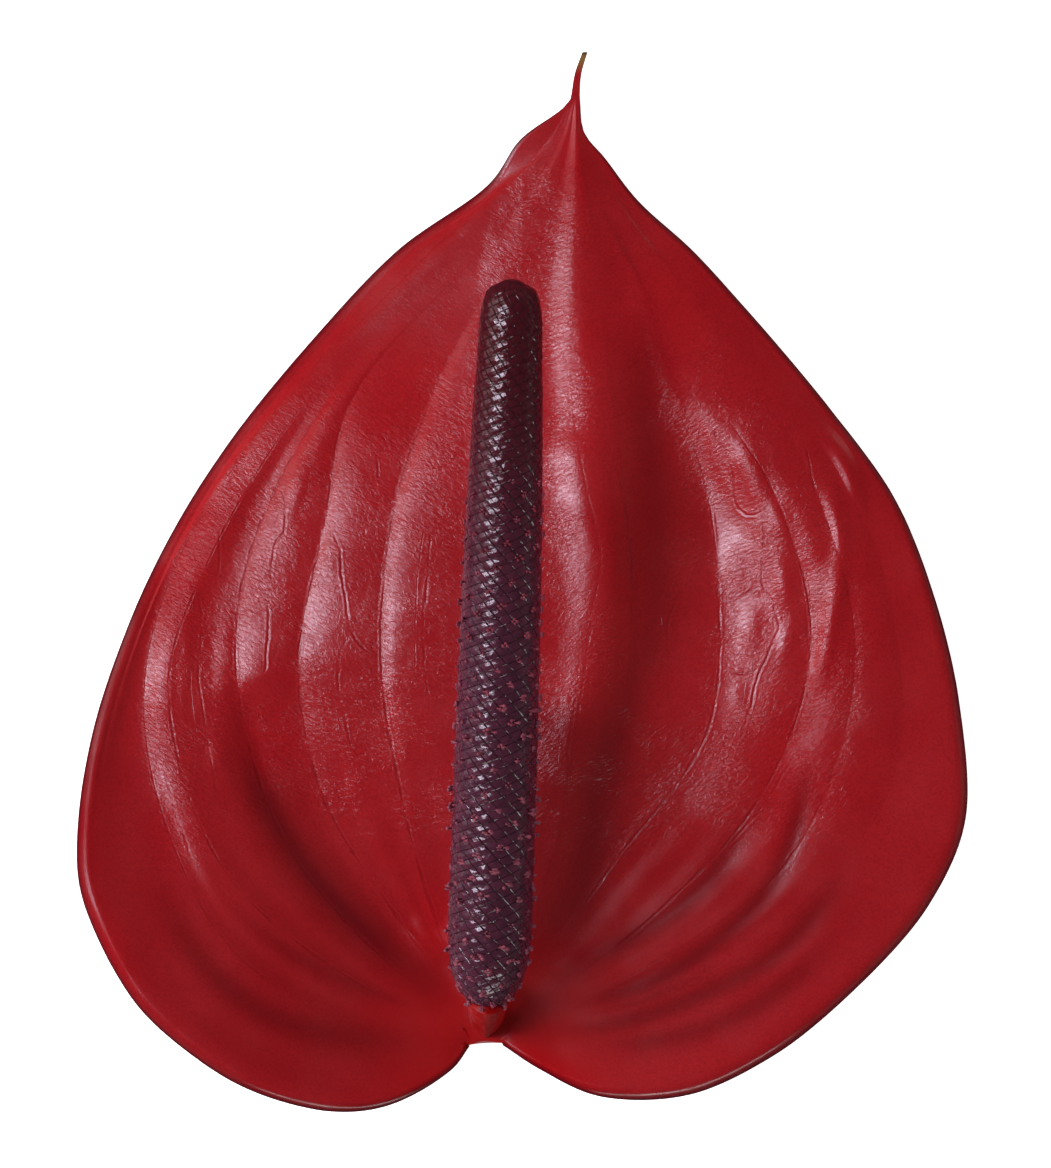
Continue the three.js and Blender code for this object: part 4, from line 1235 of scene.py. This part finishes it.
def peduncle():
    """The stem's upper end, from its cut behind the spathe round the notch to the foot of the spadix."""
    shares = np.linspace(0, 1, STEM_RINGS)
    centres = along([*STEM_LINE, tuple(np.array(SPADIX_FOOT) + STEM_END)], shares)
    run = unit(np.gradient(centres, axis=0))
    # the cut end lies flat on the floor
    run[0] = unit(np.array(lying().inverted().to_3x3() @ Vector((0, 0, 1))))
    across = unit(np.array([1.0, 0, 0]) - run * run[:, :1])
    over = np.cross(run, across)
    radius = reading(STEM_RADII, shares)
    angles = 2 * np.pi * np.arange(STEM_SIDES) / STEM_SIDES
    keel = reading(STEM_KEEL, shares)[:, None]
    front = np.maximum(-np.sin(angles), 0)[None]
    aside = np.cos(angles)[None] * (1 - keel * front**2)
    upwards = np.sin(angles)[None] * (1 + KEEL_REACH * keel * front)
    ring = across[:, None] * aside[:, :, None] + over[:, None] * upwards[:, :, None]
    points = (centres[:, None] + ring * radius[:, None, None]).reshape(-1, 3)
    return mesh_piece("peduncle_stub", points, tube_faces(STEM_RINGS, STEM_SIDES))


# The stage

def area_light(name, towards, distance, size, strength, colour=(1, 1, 1), in_shine=True):
    """A soft light on the side of the flower head that `towards` points to, in the viewer's frame. Its
    distance and size are in metres, its strength in watts. No finish mirrors one that isn't in_shine."""
    data = bpy.data.lights.new(name, "AREA")
    data.shape = "RECTANGLE"
    data.size, data.size_y = size
    data.energy = strength
    data.color = colour
    light = linked(name, data)
    direction = (lying().to_3x3() @ Vector(towards)).normalized()
    light.location = lying() @ Vector(VIEW_CENTRE) + direction * distance
    light.rotation_mode = "QUATERNION"
    light.rotation_quaternion = direction.to_track_quat("Z", "Y")
    light.visible_glossy = in_shine
    return light


def floor():
    """A wide floor, which no finish mirrors."""
    mesh = bpy.data.meshes.new("floor")
    half = FLOOR_HALF_WIDTH
    corners = [(-half, -half, 0), (half, -half, 0), (half, half, 0), (-half, half, 0)]
    mesh.from_pydata(corners, [], [(0, 1, 2, 3)])
    mesh.materials.append(floor_white())
    piece = linked("floor", mesh)
    piece.visible_glossy = False


def lights():
    """The lights: the shine comes from the key light and, weakly, from the left. Gives the two that have to
    fall past the spadix."""
    key = area_light(
        "key_light", towards=(-0.59, 0.0, 0.8), distance=1.6, size=(0.38, 0.92), strength=8.6,
        colour=(1, 0.92, 1.12),
    )
    from_left = {"towards": (-0.9, 0.15, 0.46), "distance": 2.0, "size": (1.2, 2.4)}
    left = area_light("left_fill", **from_left, strength=50, in_shine=False)
    area_light("left_sheen", **from_left, strength=5)
    area_light(
        "right_fill", towards=(0.8, 0.45, 0.14), distance=1.0, size=(0.8, 0.3), strength=5.5, in_shine=False,
    )
    area_light("low_fill", towards=(0.1, -0.93, 0.33), distance=1.0, size=(1.0, 0.15), strength=2.2)
    return key, left


def studio():
    """Dim walls round the floor, brightest a little above it and nearly black below."""
    world = bpy.data.worlds.new("studio")
    bpy.context.scene.world = world
    world.use_nodes = True
    tree = world.node_tree
    tree.nodes.clear()
    rise = parts(tree, add(tree, "ShaderNodeTexCoord").outputs["Generated"])["Z"]
    above = remap(tree, rise, (0.05, 0.45), (0.13, 0.04))
    walls = math_node(tree, "MULTIPLY", above, remap(tree, rise, (-0.1, 0.05), (0.1, 1.0)))
    sky = add(tree, "ShaderNodeBackground", {"Color": WHITE, "Strength": walls})
    add(tree, "ShaderNodeOutputWorld", {"Surface": sky.outputs[0]})


def light_past(light, pieces):
    """Lets a light fall past some pieces, so that they throw no shadow of it."""
    passed = bpy.data.collections.new(light.name + "_passes")
    for piece in pieces:
        passed.objects.link(piece)
    for item in passed.collection_objects:
        item.light_linking.link_state = "EXCLUDE"
    light.light_linking.blocker_collection = passed


def camera():
    data = bpy.data.cameras.new("camera")
    data.sensor_width = SENSOR
    data.lens = SENSOR * VIEW_DISTANCE / VIEW_HEIGHT
    data.clip_start, data.clip_end = VIEW_RANGE
    eye = linked("camera", data)
    turn = lying().to_3x3() * (1 / MM)
    eye.location = lying() @ (Vector(VIEW_CENTRE) + Vector((0, 0, VIEW_DISTANCE)))
    eye.rotation_mode = "QUATERNION"
    eye.rotation_quaternion = turn.to_quaternion()
    bpy.context.scene.camera = eye


camera()
floor()
key, left = lights()
studio()
bpy.context.scene.view_settings.view_transform = "Standard"

blade = spathe()
blade.data.materials.append(waxy_red())
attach(blade, "root")
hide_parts("spathe")

lower_florets, upper_florets, anthers = spadix()
for piece in (lower_florets, upper_florets, anthers):
    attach(piece, "root")
    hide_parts("spadix")
light_past(key, (lower_florets, upper_florets, anthers))
light_past(left, (upper_florets, anthers))

stub = peduncle()
stub.data.materials.append(stem_red())
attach(stub, "root")
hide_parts("peduncle")
